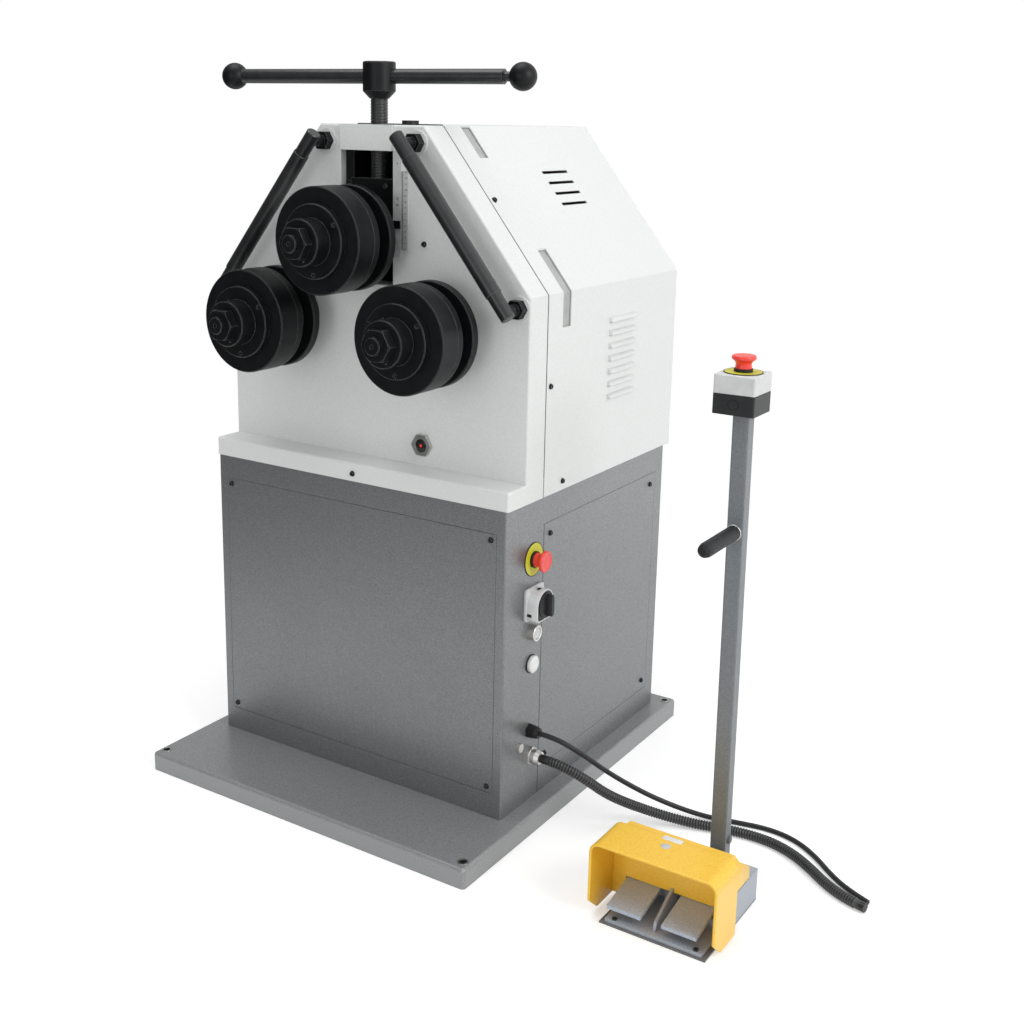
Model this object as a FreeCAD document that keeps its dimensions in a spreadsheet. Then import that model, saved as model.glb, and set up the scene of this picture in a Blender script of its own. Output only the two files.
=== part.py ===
import FreeCAD, Part
import math
import os
import re

import Sketcher

# Ring roller: three driven and pressed rollers on a slanted housing over a cabinet, with a foot station.
# Origin: centre of the base pan on the floor. +X right, +Y to the back, +Z up. Millimetres.

sizes = {
    # base pan, open underneath, with ribs that stand on the floor
    "base_overhang": 32,
    "base_depth": 800,
    "base_height": 36,
    "base_sheet": 5,
    "base_round": 7,
    "rib_spacing": 260,
    "anchor_edge_x": 16,
    "anchor_edge_y": 21,
    "anchor_bore": 6.5,
    "sleeve_radius": 9,
    "sleeve_rise": 1,
    "seat_clearance": 0.05,
    # cabinet of folded sheet, doubled behind the two flush panels
    "cabinet_inset": 4,
    "cabinet_setback": 166,
    "cabinet_rear_inset": 44,
    "cabinet_height": 560,
    "cabinet_sheet": 3,
    "cabinet_round": 3,
    "panel_seam": 0.6,
    "panel_lip": 20,
    "front_panel_side": 19,
    "front_panel_low": 46,
    "front_panel_high": 42,
    "side_panel_front": 124,
    "side_panel_back": 34,
    "side_panel_low": 48,
    "side_panel_high": 51,
    "cable_opening": 60,
    # front casting, its tray and the slot that the carriage slides in
    "housing_width": 656,
    "plate_front": 56,
    "plate_thickness": 54,
    "shoulder_rise": 348.5,
    "housing_rise": 618.5,
    "housing_top_width": 224.5,
    "casting_round": 4,
    "tray_height": 34,
    "slot_left": 65.5,
    "slot_right": 47.5,
    "slot_low": 346,
    "bridge_height": 43.5,
    "bridge_proud": 4,
    "gib_width": 17.9,
    "gib_depth": 40.5,
    # rear cover of sheet with louvres, slits and lifting slots
    "cover_gap": 3,
    "cover_overhang": 14,
    "cover_sheet": 2.5,
    "cover_round": 5,
    "cover_flange": 16,
    "louvre_length": 98,
    "louvre_radius": 8.5,
    "louvre_skin": 1.5,
    "louvre_pitch": 23.4,
    "louvre_start": 216.6,
    "louvre_low": 137,
    "slit_length": 91,
    "slit_width": 4.5,
    "slit_pitch": 23.2,
    "slit_first": 171.3,
    "slit_start": 220.5,
    "lift_start": 48,
    "lift_width": 27.5,
    "lift_upper": 68.7,
    "lift_lower": 88,
    "lift_side": 60,
    # inner frame behind the casting
    "frame_width": 600,
    "bearing_plate_width": 480,
    "bearing_plate_top": 424,
    "bearing_plate_gap": 164,
    "bearing_plate_thickness": 30,
    "frame_floor": 12,
    "frame_rear_gap": 30,
    # carriage with its pointer and the slot that holds the spindle's collar
    "slide_clearance": 0.3,
    "carriage_inset": 5,
    "carriage_depth": 113,
    "carriage_low": 390,
    "carriage_height": 138,
    "pointer_rise": 55,
    "pointer_height": 14,
    "pointer_thickness": 1.5,
    "pointer_reach": 17.5,
    "pointer_root": 11,
    # spindle and T-handle
    "spindle_inset": 24,
    "spindle_radius": 15,
    "spindle_running": 0.05,
    "collar_radius": 14.9,
    "collar_height": 8,
    "collar_drop": 24,
    "neck_radius": 9,
    "nut_radius": 19,
    "hub_gap": 43,
    "hub_height": 61.5,
    "hub_cone": 12.5,
    "hub_foot_radius": 16.5,
    "hub_radius": 28.25,
    "hub_chamfer": 2,
    "journal_radius": 12,
    "journal_height": 22.5,
    "bar_rise": 37,
    "bar_radius": 12.5,
    "bar_left": 298,
    "bar_right": 268,
    "bar_end_gap": 33,
    "bar_stub_radius": 8,
    "ball_radius": 23.25,
    "ball_seat": 19.6,
    "handle_turn": 7.85,
    # roller shafts and the rings on them
    "shaft_spacing": 336,
    "shaft_height": 281,
    "top_shaft_height": 430,
    "shaft_radius": 25,
    "running_clearance": 0.05,
    "thread_radius": 15,
    "thread_length": 68,
    "shoulder_radius": 32,
    "roller_gap": 47,
    "ring_radius": 90,
    "ring_chamfer": 1.5,
    "front_ring_width": 41.5,
    "thin_disc_width": 14.5,
    "groove_width": 28,
    "groove_radius": 65,
    "rear_disc_width": 16,
    "flange_radius": 62.5,
    "flange_width": 11,
    "clamp_radius": 39.3,
    "clamp_width": 32,
    "flange_screw_circle": 55,
    "flange_screw_radius": 4,
    "flange_screw_depth": 3,
    "roller_nut_flats": 50,
    "roller_nut_height": 17,
    "roller_nut_chamfer": 3,
    "centre_hole": 3.5,
    # bearings and the gear train
    "bearing_radius": 45,
    "bearing_flange_radius": 60,
    "bearing_flange_width": 12,
    "rear_bearing_radius": 40,
    "shaft_tail": 25,
    "gear_module": 6,
    "pinion_teeth": 16,
    "gear_width": 40,
    "gear_gap": 10,
    "gear_backlash": 0.5,
    "pinion_shaft_radius": 20,
    "pinion_shaft_nose": 4,
    "pinion_shaft_reach": 45,
    "gearbox_size": 180,
    "gearbox_depth": 100,
    "motor_radius": 72,
    "motor_rear_gap": 27.5,
    # guide bars on posts, in front of the slanted edges
    "guide_standoff": 46,
    "guide_side": 14.75,
    "guide_drop": 28.7,
    "guide_post_spacing": 333.3,
    "guide_upper_overhang": 17.4,
    "guide_lower_overhang": 14,
    "guide_radius": 14,
    "guide_end_radius": 12.5,
    "guide_end_length": 47,
    "post_radius": 10,
    "post_depth": 30,
    "post_nut_flats": 30,
    "post_nut_height": 15,
    "post_washer_radius": 21.5,
    "post_washer_height": 2,
    # depth scale, oil sight glass and filler cap
    "scale_gap": 2.5,
    "scale_width": 15,
    "scale_low": 397,
    "scale_height": 179,
    "scale_thickness": 1,
    "ruler_gap": 1.3,
    "ruler_width": 13.7,
    "ruler_low": 409,
    "ruler_height": 134,
    "sight_side": 113.4,
    "sight_height": 72.4,
    "sight_flats": 36,
    "sight_depth": 7,
    "sight_glass_radius": 12,
    "sight_glass_depth": 4,
    "filler_side": 56,
    "filler_inset": 38,
    "filler_radius": 14.5,
    "filler_height": 7.5,
    # black button screws
    "screw_radius": 5.3,
    "screw_tip_radius": 3.9,
    "screw_height": 3.6,
    "socket_flats": 4.6,
    "socket_depth": 2.2,
    "screw_inset": 11,
    "side_screw_inset": 21,
    "tray_screw_drop": 20,
    "plate_screw_side": 113.4,
    "plate_screw_height": 422.2,
    "cover_screw_upper": 192.5,
    "cover_screw_lower": 16.4,
    "cover_screw_front": 12,
    "cover_screw_back": 62,
    "cover_screw_slant": 191,
    # controls on the right face of the cabinet
    "control_inset": 91,
    "control_hole": 11.15,
    "control_shank": 11,
    "shank_length": 8,
    "stop_height": 454.7,
    "legend_radius": 33.5,
    "legend_thickness": 1.5,
    "stop_collar_radius": 17,
    "stop_collar_length": 12,
    "stop_bore": 8.3,
    "stop_pin_radius": 8,
    "stop_pin_length": 14,
    "stop_travel_gap": 4.3,
    "stop_neck_radius": 14,
    "stop_neck_length": 4,
    "mushroom_radius": 20,
    "mushroom_height": 10,
    "mushroom_crown": 3,
    "switch_height": 377,
    "switch_size": 65,
    "switch_plate": 9,
    "switch_radius": 28.5,
    "switch_length": 16,
    "knob_radius": 23,
    "knob_length": 13,
    "knob_flat": 10,
    "knob_pin_radius": 6,
    "knob_pin_length": 10,
    "start_height": 321,
    "bezel_radius": 14.5,
    "bezel_bore": 10.8,
    "bezel_length": 9,
    "start_radius": 10.5,
    "start_length": 14,
    "start_inset": 3,
    "lamp_height": 262,
    "lamp_radius": 15.5,
    "lamp_length": 10,
    "lamp_crown": 3,
    # glands on the right face
    "cable_gland_inset": 90,
    "cable_gland_height": 135,
    "cable_gland_radius": 12,
    "cable_gland_length": 22,
    "cable_diameter": 9,
    "hose_gland_inset": 90,
    "hose_gland_height": 88.5,
    "hose_gland_radius": 15,
    "hose_gland_length": 26,
    "hose_diameter": 18,
    "hose_bore": 12,
    "hose_valley": 15.6,
    "plug_inset": 57,
    "plug_height": 115,
    "plug_radius": 8,
    "plug_length": 5,
    # foot station
    "station_left": 583.5,
    "station_front": 351,
    "station_width": 180,
    "station_depth": 255,
    "station_plate": 3,
    "casting_inset": 4,
    "casting_floor": 6,
    "casting_block_depth": 90,
    "casting_block_front": 111,
    "casting_block_height": 53.5,
    "casting_wall": 5,
    "fin_thickness": 5,
    "fin_side": 85,
    "fin_front_height": 14,
    "fin_rear_height": 51,
    "fin_front": 16,
    "fin_rear": 82,
    "guard_overhang": 22.5,
    "guard_front": 2,
    "guard_side_depth": 61,
    "guard_low": 24,
    "guard_top": 133,
    "guard_wall": 4,
    "guard_round": 16,
    "guard_back_wall": 84,
    "guard_top_depth": 96,
    "guard_slope_top": 114,
    "guard_slope_high": 113,
    "guard_slope_rear": 163,
    "guard_slope_low": 79.4,
    "pedal_width": 58.5,
    "left_pedal_inset": 8.5,
    "right_pedal_inset": 102.5,
    "pedal_front": 8,
    "pedal_rear": 89,
    "pedal_front_height": 30,
    "pedal_rear_height": 45,
    "pedal_thickness": 6,
    "pedal_pin_inset": 101,
    "pedal_pin_height": 42,
    "pedal_pin_radius": 3,
    "pedal_heel": 5,
    "ear_thickness": 5,
    "ear_gap": 0.5,
    "ear_height": 48,
    # mast, grip and the button box on top
    "mast_side": 97.5,
    "mast_inset": 227,
    "mast_width": 30,
    "mast_depth": 20,
    "mast_wall": 2,
    "mast_top": 794.5,
    "mast_socket_wall": 4,
    "mast_socket_height": 97,
    "mast_bolt_height": 86,
    "mast_bolt_radius": 8,
    "mast_bolt_length": 6,
    "grip_height": 604,
    "grip_radius": 12,
    "grip_length": 118,
    "box_shift": 5,
    "box_size": 68,
    "box_height": 62,
    "box_split": 31.5,
    "box_groove": 1,
    "box_round": 3,
    "box_wall": 3,
    "knockout_radius": 9,
    "knockout_width": 1.5,
    "knockout_height": 16.5,
}

doc = FreeCAD.newDocument("ring_roller")
sheet = doc.addObject("Spreadsheet::Sheet", "Sizes")
for row, (name, number) in enumerate(sizes.items(), start=1):
    sheet.set(f"A{row}", name)
    sheet.set(f"B{row}", str(number))
    sheet.setAlias(f"B{row}", name)
doc.recompute()

pieces = []
facing = {
    "X": FreeCAD.Rotation(FreeCAD.Vector(0, 1, 0), 90),
    "Y": FreeCAD.Rotation(FreeCAD.Vector(1, 0, 0), -90),
    "Z": FreeCAD.Rotation(),
}
places = {"x": "Placement.Base.x", "y": "Placement.Base.y", "z": "Placement.Base.z"}


def tied(text):
    """An expression in which each size's name points at its cell."""
    return re.sub(r"[a-z]\w*", lambda word: "Sizes." + word[0] if word[0] in sizes else word[0], text)


def bind(thing, **texts):
    for field, text in texts.items():
        thing.setExpression(places.get(field, field), tied(text))


def piece(label, thing):
    """A finished sub-part, which keeps its label as its file name."""
    thing.Label = label
    pieces.append(thing)
    return thing


def block(x, y, z, length, width, height):
    """A box from its low corner."""
    box = doc.addObject("Part::Box", "Block")
    bind(box, x=x, y=y, z=z, Length=length, Width=width, Height=height)
    return box


def rod(along, x, y, z, radius, length):
    """A cylinder from the centre of its low end."""
    bar = doc.addObject("Part::Cylinder", "Rod")
    bar.Placement = FreeCAD.Placement(FreeCAD.Vector(), facing[along])
    bind(bar, x=x, y=y, z=z, Radius=radius, Height=length)
    return bar


def hexagon(along, x, y, z, flats, height):
    """A hexagonal bar from the centre of its low end, sized across its flats."""
    bar = doc.addObject("Part::Prism", "Hexagon")
    bar.Placement = FreeCAD.Placement(FreeCAD.Vector(), facing[along])
    bar.Polygon = 6
    bind(bar, x=x, y=y, z=z, Circumradius=f"({flats}) / sqrt(3)", Height=height)
    return bar


def fused(*parts):
    whole = doc.addObject("Part::MultiFuse", "Fused")
    whole.Shapes = list(parts)
    return whole


def grouped(*parts):
    """Separate solids that share one node."""
    group = doc.addObject("Part::Compound", "Group")
    group.Links = list(parts)
    return group


def less(base, *tools):
    """What is left of a base when its tools are cut away."""
    cut = doc.addObject("Part::Cut", "Less")
    cut.Base = base
    cut.Tool = tools[0] if len(tools) == 1 else fused(*tools)
    return cut


def common(base, tool):
    shared = doc.addObject("Part::Common", "Common")
    shared.Base = base
    shared.Tool = tool
    return shared


def outline(body, plane, points):
    """A closed outline on one of the body's own planes, each corner tied to its sizes."""
    sketch = body.newObject("Sketcher::SketchObject", "Outline")
    support = next(part for part in body.Origin.OriginFeatures if part.Role == plane)
    sketch.AttachmentSupport = [(support, "")]
    sketch.MapMode = "FlatFace"
    count = len(points)
    ring = [
        FreeCAD.Vector(10 * math.cos(2 * math.pi * k / count), 10 * math.sin(2 * math.pi * k / count), 0)
        for k in range(count)
    ]
    for k in range(count):
        sketch.addGeometry(Part.LineSegment(ring[k], ring[(k + 1) % count]), False)
    for k in range(count):
        sketch.addConstraint(Sketcher.Constraint("Coincident", k, 2, (k + 1) % count, 1))
    for k, (across, up) in enumerate(points):
        for kind, start, text in (("DistanceX", ring[k].x, across), ("DistanceY", ring[k].y, up)):
            index = sketch.addConstraint(Sketcher.Constraint(kind, -1, 1, k, 1, start))
            sketch.setExpression(f"Constraints[{index}]", tied(text))
    return sketch


def turned(along, points, x="0", y="0", z="0"):
    """A lathe piece: corners as (radius, distance along the axis)."""
    body = doc.addObject("PartDesign::Body", "Turned")
    plane, axis = {"X": ("XY_Plane", "H_Axis"), "Y": ("XY_Plane", "V_Axis"), "Z": ("XZ_Plane", "V_Axis")}[along]
    if along == "X":
        points = [(length, radius) for radius, length in points]
    sketch = outline(body, plane, points)
    spin = body.newObject("PartDesign::Revolution", "Spin")
    spin.Profile = sketch
    spin.ReferenceAxis = (sketch, [axis])
    spin.Angle = 360
    bind(body, x=x, y=y, z=z)
    return body


def plate(plane, points, thickness, x="0", y="0", z="0"):
    """A plate of constant thickness: to -Y from an XZ outline, to +X from a YZ one, to +Z from an XY one."""
    body = doc.addObject("PartDesign::Body", "Plate")
    pad = body.newObject("PartDesign::Pad", "Pad")
    pad.Profile = outline(body, plane, points)
    bind(pad, Length=thickness)
    bind(body, x=x, y=y, z=z)
    return body


def rounded(body, radius, chosen):
    """The body with the chosen edges of its last feature rounded."""
    doc.recompute()
    base = body.Tip
    names = [f"Edge{k}" for k, edge in enumerate(base.Shape.Edges, start=1) if chosen(edge.BoundBox)]
    fillet = body.newObject("PartDesign::Fillet", "Round")
    fillet.Base = (base, names)
    bind(fillet, Radius=radius)
    body.Tip = fillet
    return body


def near(one, other):
    return abs(one - other) < 0.01


# Heights and places that several pieces share, as sums of the sizes above.
deck = "(base_height + cabinet_height)"
half_base_x = "(housing_width / 2 + base_overhang)"
base_width = f"(2 * {half_base_x})"
half_base_y = "(base_depth / 2)"
cabinet_half = "(housing_width / 2 - cabinet_inset)"
cabinet_width = f"(2 * {cabinet_half})"
front_panel_width = f"({cabinet_width} - 2 * front_panel_side)"
front_panel_height = "(cabinet_height - front_panel_low - front_panel_high)"
side_panel_height = "(cabinet_height - side_panel_low - side_panel_high)"
front = "(cabinet_setback - base_depth / 2)"
cabinet_depth = "(base_depth - cabinet_setback - cabinet_rear_inset)"
plate_face = f"({front} + plate_front)"
plate_back = f"({front} + plate_front + plate_thickness)"
cover_length = f"({cabinet_depth} - plate_front - plate_thickness - cover_gap + cover_overhang)"
frame_depth = f"({cabinet_depth} - plate_front - plate_thickness - frame_rear_gap)"
side_panel_length = f"({cabinet_depth} - side_panel_front - side_panel_back)"
housing_half = "(housing_width / 2)"
top_half = "(housing_top_width / 2)"
shoulder = f"({deck} + shoulder_rise)"
summit = f"({deck} + housing_rise)"
slant_run = f"({housing_half} - {top_half})"
slant_rise = "(housing_rise - shoulder_rise)"
slant = f"hypot({slant_run}; {slant_rise})"
slant_angle = math.degrees(
    math.atan2(
        sizes["housing_rise"] - sizes["shoulder_rise"],
        (sizes["housing_width"] - sizes["housing_top_width"]) / 2,
    )
)


def on_slant(distance, side):
    """x and z of a point that far up the slanted edge from its lower end."""
    return (
        f"({side} * ({housing_half} - ({distance}) * {slant_run} / {slant}))",
        f"({shoulder} + ({distance}) * {slant_rise} / {slant})",
    )


# Base pan
pan = plate(
    "XY_Plane",
    [
        (f"-{half_base_x}", f"-{half_base_y}"),
        (half_base_x, f"-{half_base_y}"),
        (half_base_x, half_base_y),
        (f"-{half_base_x}", half_base_y),
    ],
    "base_height",
)
rounded(pan, "base_round", lambda box: box.ZMax > sizes["base_height"] - 0.01)
hollow = block(
    f"-{half_base_x} + base_sheet",
    f"-{half_base_y} + base_sheet",
    "-1",
    f"{base_width} - 2 * base_sheet",
    "base_depth - 2 * base_sheet",
    "base_height - base_sheet + 1",
)
anchor_places = [
    (f"{x} * ({half_base_x} - anchor_edge_x)", f"{y} * ({half_base_y} - anchor_edge_y)")
    for x in (-1, 1)
    for y in (-1, 1)
]
ribs = [
    block(
        f"-{half_base_x} + base_sheet",
        f"{k} * rib_spacing - base_sheet / 2",
        "0",
        f"{base_width} - 2 * base_sheet",
        "base_sheet",
        "base_height - base_sheet",
    )
    for k in (-1, 0, 1)
]
anchor_holes = [rod("Z", x, y, "-1", "sleeve_radius + seat_clearance", "base_height + 2") for x, y in anchor_places]
piece("base_pan", less(fused(less(pan, hollow), *ribs), *anchor_holes))
piece(
    "anchor_sleeves",
    grouped(
        *[
            less(
                rod("Z", x, y, "0", "sleeve_radius", "base_height + sleeve_rise"),
                rod("Z", x, y, "-1", "anchor_bore", "base_height + sleeve_rise + 2"),
            )
            for x, y in anchor_places
        ]
    ),
)

# Cabinet shell and its two flush panels
face = cabinet_half
side_panel_start = f"({front} + side_panel_front)"
shell = plate(
    "XY_Plane",
    [
        (f"-{face}", front),
        (face, front),
        (face, f"{front} + {cabinet_depth}"),
        (f"-{face}", f"{front} + {cabinet_depth}"),
    ],
    "cabinet_height",
    z="base_height",
)
rounded(shell, "cabinet_round", lambda box: box.ZLength > sizes["cabinet_height"] - 0.01)
cavity = block(
    f"-{face} + cabinet_sheet",
    f"{front} + 2 * cabinet_sheet",
    "base_height + cabinet_sheet",
    f"{cabinet_width} - 3 * cabinet_sheet",
    f"{cabinet_depth} - 3 * cabinet_sheet",
    "cabinet_height - 2 * cabinet_sheet",
)


def panel_front(grow, start, depth):
    return block(
        f"-{front_panel_width} / 2 - {grow}",
        f"{front} + {start}",
        f"base_height + front_panel_low - {grow}",
        f"{front_panel_width} + 2 * ({grow})",
        depth,
        f"{front_panel_height} + 2 * ({grow})",
    )


def panel_side(grow, start, depth):
    return block(
        f"{face} - {start}",
        f"{side_panel_start} - {grow}",
        f"base_height + side_panel_low - {grow}",
        depth,
        f"{side_panel_length} + 2 * ({grow})",
        f"{side_panel_height} + 2 * ({grow})",
    )


control_y = f"({front} + control_inset)"
control_levels = ["stop_height", "switch_height", "start_height", "lamp_height"]
control_holes = [
    rod("X", f"{face} - 3 * cabinet_sheet", control_y, f"base_height + {level}", "control_hole", "4 * cabinet_sheet")
    for level in control_levels
]
piece(
    "cabinet_shell",
    less(
        shell,
        cavity,
        panel_front("panel_seam", "-1", "cabinet_sheet + 1"),
        panel_front("-panel_lip", "-1", "3 * cabinet_sheet"),
        panel_side("panel_seam", "cabinet_sheet", "cabinet_sheet + 1"),
        panel_side("-panel_lip", "3 * cabinet_sheet", "4 * cabinet_sheet"),
        rod("Z", "0", "0", f"{deck} - 2 * cabinet_sheet", "cable_opening", "3 * cabinet_sheet"),
        *control_holes,
    ),
)
piece("front_panel", panel_front("0", "0", "cabinet_sheet"))
piece("side_panel", panel_side("0", "cabinet_sheet", "cabinet_sheet"))

# Front casting: slanted plate and tray in one, with the slide slot, bearing bores and post holes
casting = plate(
    "XZ_Plane",
    [
        (f"-{housing_half}", deck),
        (housing_half, deck),
        (housing_half, shoulder),
        (top_half, summit),
        (f"-{top_half}", summit),
        (f"-{housing_half}", shoulder),
    ],
    "plate_thickness",
    y=plate_back,
)
tray = casting.newObject("PartDesign::Pad", "Tray")
tray.Profile = outline(
    casting,
    "XZ_Plane",
    [
        (f"-{housing_half}", deck),
        (housing_half, deck),
        (housing_half, f"{deck} + tray_height"),
        (f"-{housing_half}", f"{deck} + tray_height"),
    ],
)
bind(tray, Length="plate_thickness + plate_front")
casting.Tip = tray
tray_top = sizes["base_height"] + sizes["cabinet_height"] + sizes["tray_height"]
tray_front = -sizes["plate_thickness"] - sizes["plate_front"]


def casting_edge(box):
    """Edges round the plate's face and round the tray, in the casting's own frame."""
    on_face = near(box.YMin, -sizes["plate_thickness"]) and near(box.YMax, -sizes["plate_thickness"])
    outer = near(abs(box.XMax), sizes["housing_width"] / 2) or near(abs(box.XMin), sizes["housing_width"] / 2)
    high = box.ZMax > tray_top + 1
    tray_upper = near(box.ZMin, tray_top) and near(box.ZMax, tray_top) and near(box.YMin, tray_front)
    tray_corner = near(box.YMin, tray_front) and near(box.YMax, tray_front) and outer and box.ZLength > 1
    return (on_face and high) or tray_upper or (tray_corner and box.XLength < 1)


rounded(casting, "casting_round", casting_edge)
slot = block(
    "-slot_left",
    f"{plate_face} - 1",
    f"{deck} + slot_low",
    "slot_left + slot_right",
    "plate_thickness + 2",
    "housing_rise - slot_low + 1",
)
shaft_level = f"({deck} + shaft_height)"
lower_shafts = [f"({side} * shaft_spacing / 2)" for side in (-1, 1)]
bearing_bores = [
    rod("Y", x, f"{plate_face} - 1", shaft_level, "bearing_radius", "plate_thickness + 2") for x in lower_shafts
]
post_places = []
for side in (-1, 1):
    upper_x = f"({side} * ({top_half} - guide_side))"
    upper_z = f"({summit} - guide_drop)"
    lower_x = f"({upper_x} + {side} * guide_post_spacing * {slant_run} / {slant})"
    lower_z = f"({upper_z} - guide_post_spacing * {slant_rise} / {slant})"
    post_places += [(upper_x, upper_z), (lower_x, lower_z)]
post_holes = [
    rod("Y", x, f"{plate_face} - 1", z, "post_radius + seat_clearance", "post_depth + 1.5") for x, z in post_places
]
sight_level = f"({deck} + sight_height)"
sight_hole = rod("Y", "sight_side", f"{plate_face} - 1", sight_level, "sight_glass_radius", "post_depth")
piece("front_casting", less(casting, slot, sight_hole, *bearing_bores, *post_holes))

# Bridge across the top of the slot, the spindle's nut in it, and the gib strip
spindle_y = f"({plate_face} + spindle_inset)"
bridge = block(
    "-slot_left",
    f"{plate_face} - bridge_proud",
    f"{summit} - bridge_height",
    "slot_left + slot_right",
    "plate_thickness + bridge_proud",
    "bridge_height",
)
bridge_bore = rod("Z", "0", spindle_y, f"{summit} - bridge_height - 1", "nut_radius", "bridge_height + 2")
piece("bridge_block", less(bridge, bridge_bore))
piece(
    "spindle_nut",
    less(
        rod("Z", "0", spindle_y, f"{summit} - bridge_height", "nut_radius - seat_clearance", "bridge_height"),
        rod("Z", "0", spindle_y, f"{summit} - bridge_height - 1", "spindle_radius + spindle_running", "bridge_height + 2"),
    ),
)
piece(
    "gib_strip",
    block(
        "-slot_left",
        f"{plate_back} - gib_depth",
        f"{deck} + slot_low",
        "gib_width",
        "gib_depth",
        "housing_rise - bridge_height - slot_low",
    ),
)

# Inner frame: floor on the cabinet and the plate that carries the rear bearings
rear_plate_y = f"({plate_back} + bearing_plate_gap)"
floor_plate = block(
    "-frame_width / 2", plate_back, deck, "frame_width", frame_depth, "frame_floor"
)
bearing_plate = block(
    "-bearing_plate_width / 2",
    rear_plate_y,
    deck,
    "bearing_plate_width",
    "bearing_plate_thickness",
    "bearing_plate_top",
)
rear_bores = [
    rod("Y", x, f"{rear_plate_y} - 1", shaft_level, "rear_bearing_radius", "bearing_plate_thickness + 2")
    for x in lower_shafts
]
pinion_bore = rod(
    "Y",
    "0",
    f"{rear_plate_y} - 1",
    shaft_level,
    "pinion_shaft_radius + running_clearance",
    "bearing_plate_thickness + 2",
)
piece("inner_frame", less(fused(floor_plate, bearing_plate), pinion_bore, *rear_bores))

# Rear cover: sheet hood with a flange on the cabinet, louvres, slits and lifting slots
cover_y = f"({plate_back} + cover_gap)"
cover = plate(
    "XZ_Plane",
    [
        (f"-{housing_half}", deck),
        (housing_half, deck),
        (housing_half, shoulder),
        (top_half, summit),
        (f"-{top_half}", summit),
        (f"-{housing_half}", shoulder),
    ],
    cover_length,
    y=f"{cover_y} + {cover_length}",
)
cover_foot = sizes["base_height"] + sizes["cabinet_height"] + 1
rounded(cover, "cover_round", lambda box: box.YLength > 1 and box.ZMin > cover_foot)
inner_side = f"({housing_half} - cover_sheet)"
inner_shoulder = f"({shoulder} - cover_sheet * ({slant} - {slant_rise}) / {slant_run})"
inner_top_side = f"({top_half} - cover_sheet * ({slant} - {slant_run}) / {slant_rise})"
inner_top = f"({summit} - cover_sheet)"
inside = plate(
    "XZ_Plane",
    [
        (f"-{inner_side}", f"{deck} - 1"),
        (inner_side, f"{deck} - 1"),
        (inner_side, inner_shoulder),
        (inner_top_side, inner_top),
        (f"-{inner_top_side}", inner_top),
        (f"-{inner_side}", inner_shoulder),
    ],
    f"{cover_length} - cover_sheet + 1",
    y=f"{cover_y} + {cover_length} - cover_sheet",
)
flanges = [
    block(
        f"{side} * ({inner_side} - cover_flange / 2 + 0.5) - cover_flange / 2 - 0.5",
        cover_y,
        deck,
        "cover_flange + 1",
        cover_length,
        "cover_sheet",
    )
    for side in (-1, 1)
]
flanges.append(
    block(
        f"-{inner_side}",
        f"{cover_y} + {cover_length} - cover_sheet - cover_flange",
        deck,
        f"2 * {inner_side}",
        "cover_flange + 1",
        "cover_sheet",
    )
)
louvre_count = 7
slit_count = 4
louvre_y = f"({cover_y} + louvre_start)"
cover_cuts = []
hoods = []


def quarter_rod(side, x, y, z, radius, length):
    """A quarter of a cylinder along Y that bulges outwards and upwards."""
    bulge = rod("Y", x, y, z, radius, length)
    bulge.Angle = 90
    if side > 0:
        turn = FreeCAD.Rotation(FreeCAD.Vector(0, 1, 0), -90)
    else:
        turn = FreeCAD.Rotation(FreeCAD.Vector(0, 1, 0), 180)
    bulge.Placement = FreeCAD.Placement(FreeCAD.Vector(), turn.multiply(facing["Y"]))
    return bulge


for side in (-1, 1):
    wall = f"({side} * ({housing_half} - cover_sheet / 2))"
    for k in range(louvre_count):
        low = f"({deck} + louvre_low + {k} * louvre_pitch)"
        hoods.append(quarter_rod(side, wall, louvre_y, low, "louvre_radius", "louvre_length"))
        cover_cuts.append(
            quarter_rod(
                side,
                wall,
                f"{louvre_y} + louvre_skin",
                f"{low} - 0.01",
                "louvre_radius - louvre_skin",
                "louvre_length - 2 * louvre_skin",
            )
        )
    for k in range(slit_count):
        x, z = on_slant(f"slit_first + {k} * slit_pitch", side)
        slit = block(
            f"{x} - 2 * slit_width",
            f"{cover_y} + slit_start",
            f"{z} - slit_width / 2",
            "4 * slit_width",
            "slit_length",
            "slit_width",
        )
        cover_cuts.append(slit)
    upper_x, upper_z = on_slant(f"{slant} - lift_upper", side)
    cover_cuts.append(
        block(
            f"min({upper_x}; {side} * {top_half})",
            f"{cover_y} + lift_start",
            upper_z,
            f"abs({upper_x} - {side} * {top_half})",
            "lift_width",
            f"{summit} - {upper_z} + 1",
        )
    )
    lower_x, lower_z = on_slant("lift_lower", side)
    cover_cuts.append(
        block(
            f"min({lower_x}; {side} * {housing_half} + {side})",
            f"{cover_y} + lift_start",
            f"{shoulder} - lift_side",
            f"abs({lower_x} - {side} * {housing_half}) + 1",
            "lift_width",
            f"{lower_z} - {shoulder} + lift_side",
        )
    )
piece("rear_cover", less(fused(less(cover, inside), *flanges, *hoods), *cover_cuts))

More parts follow.
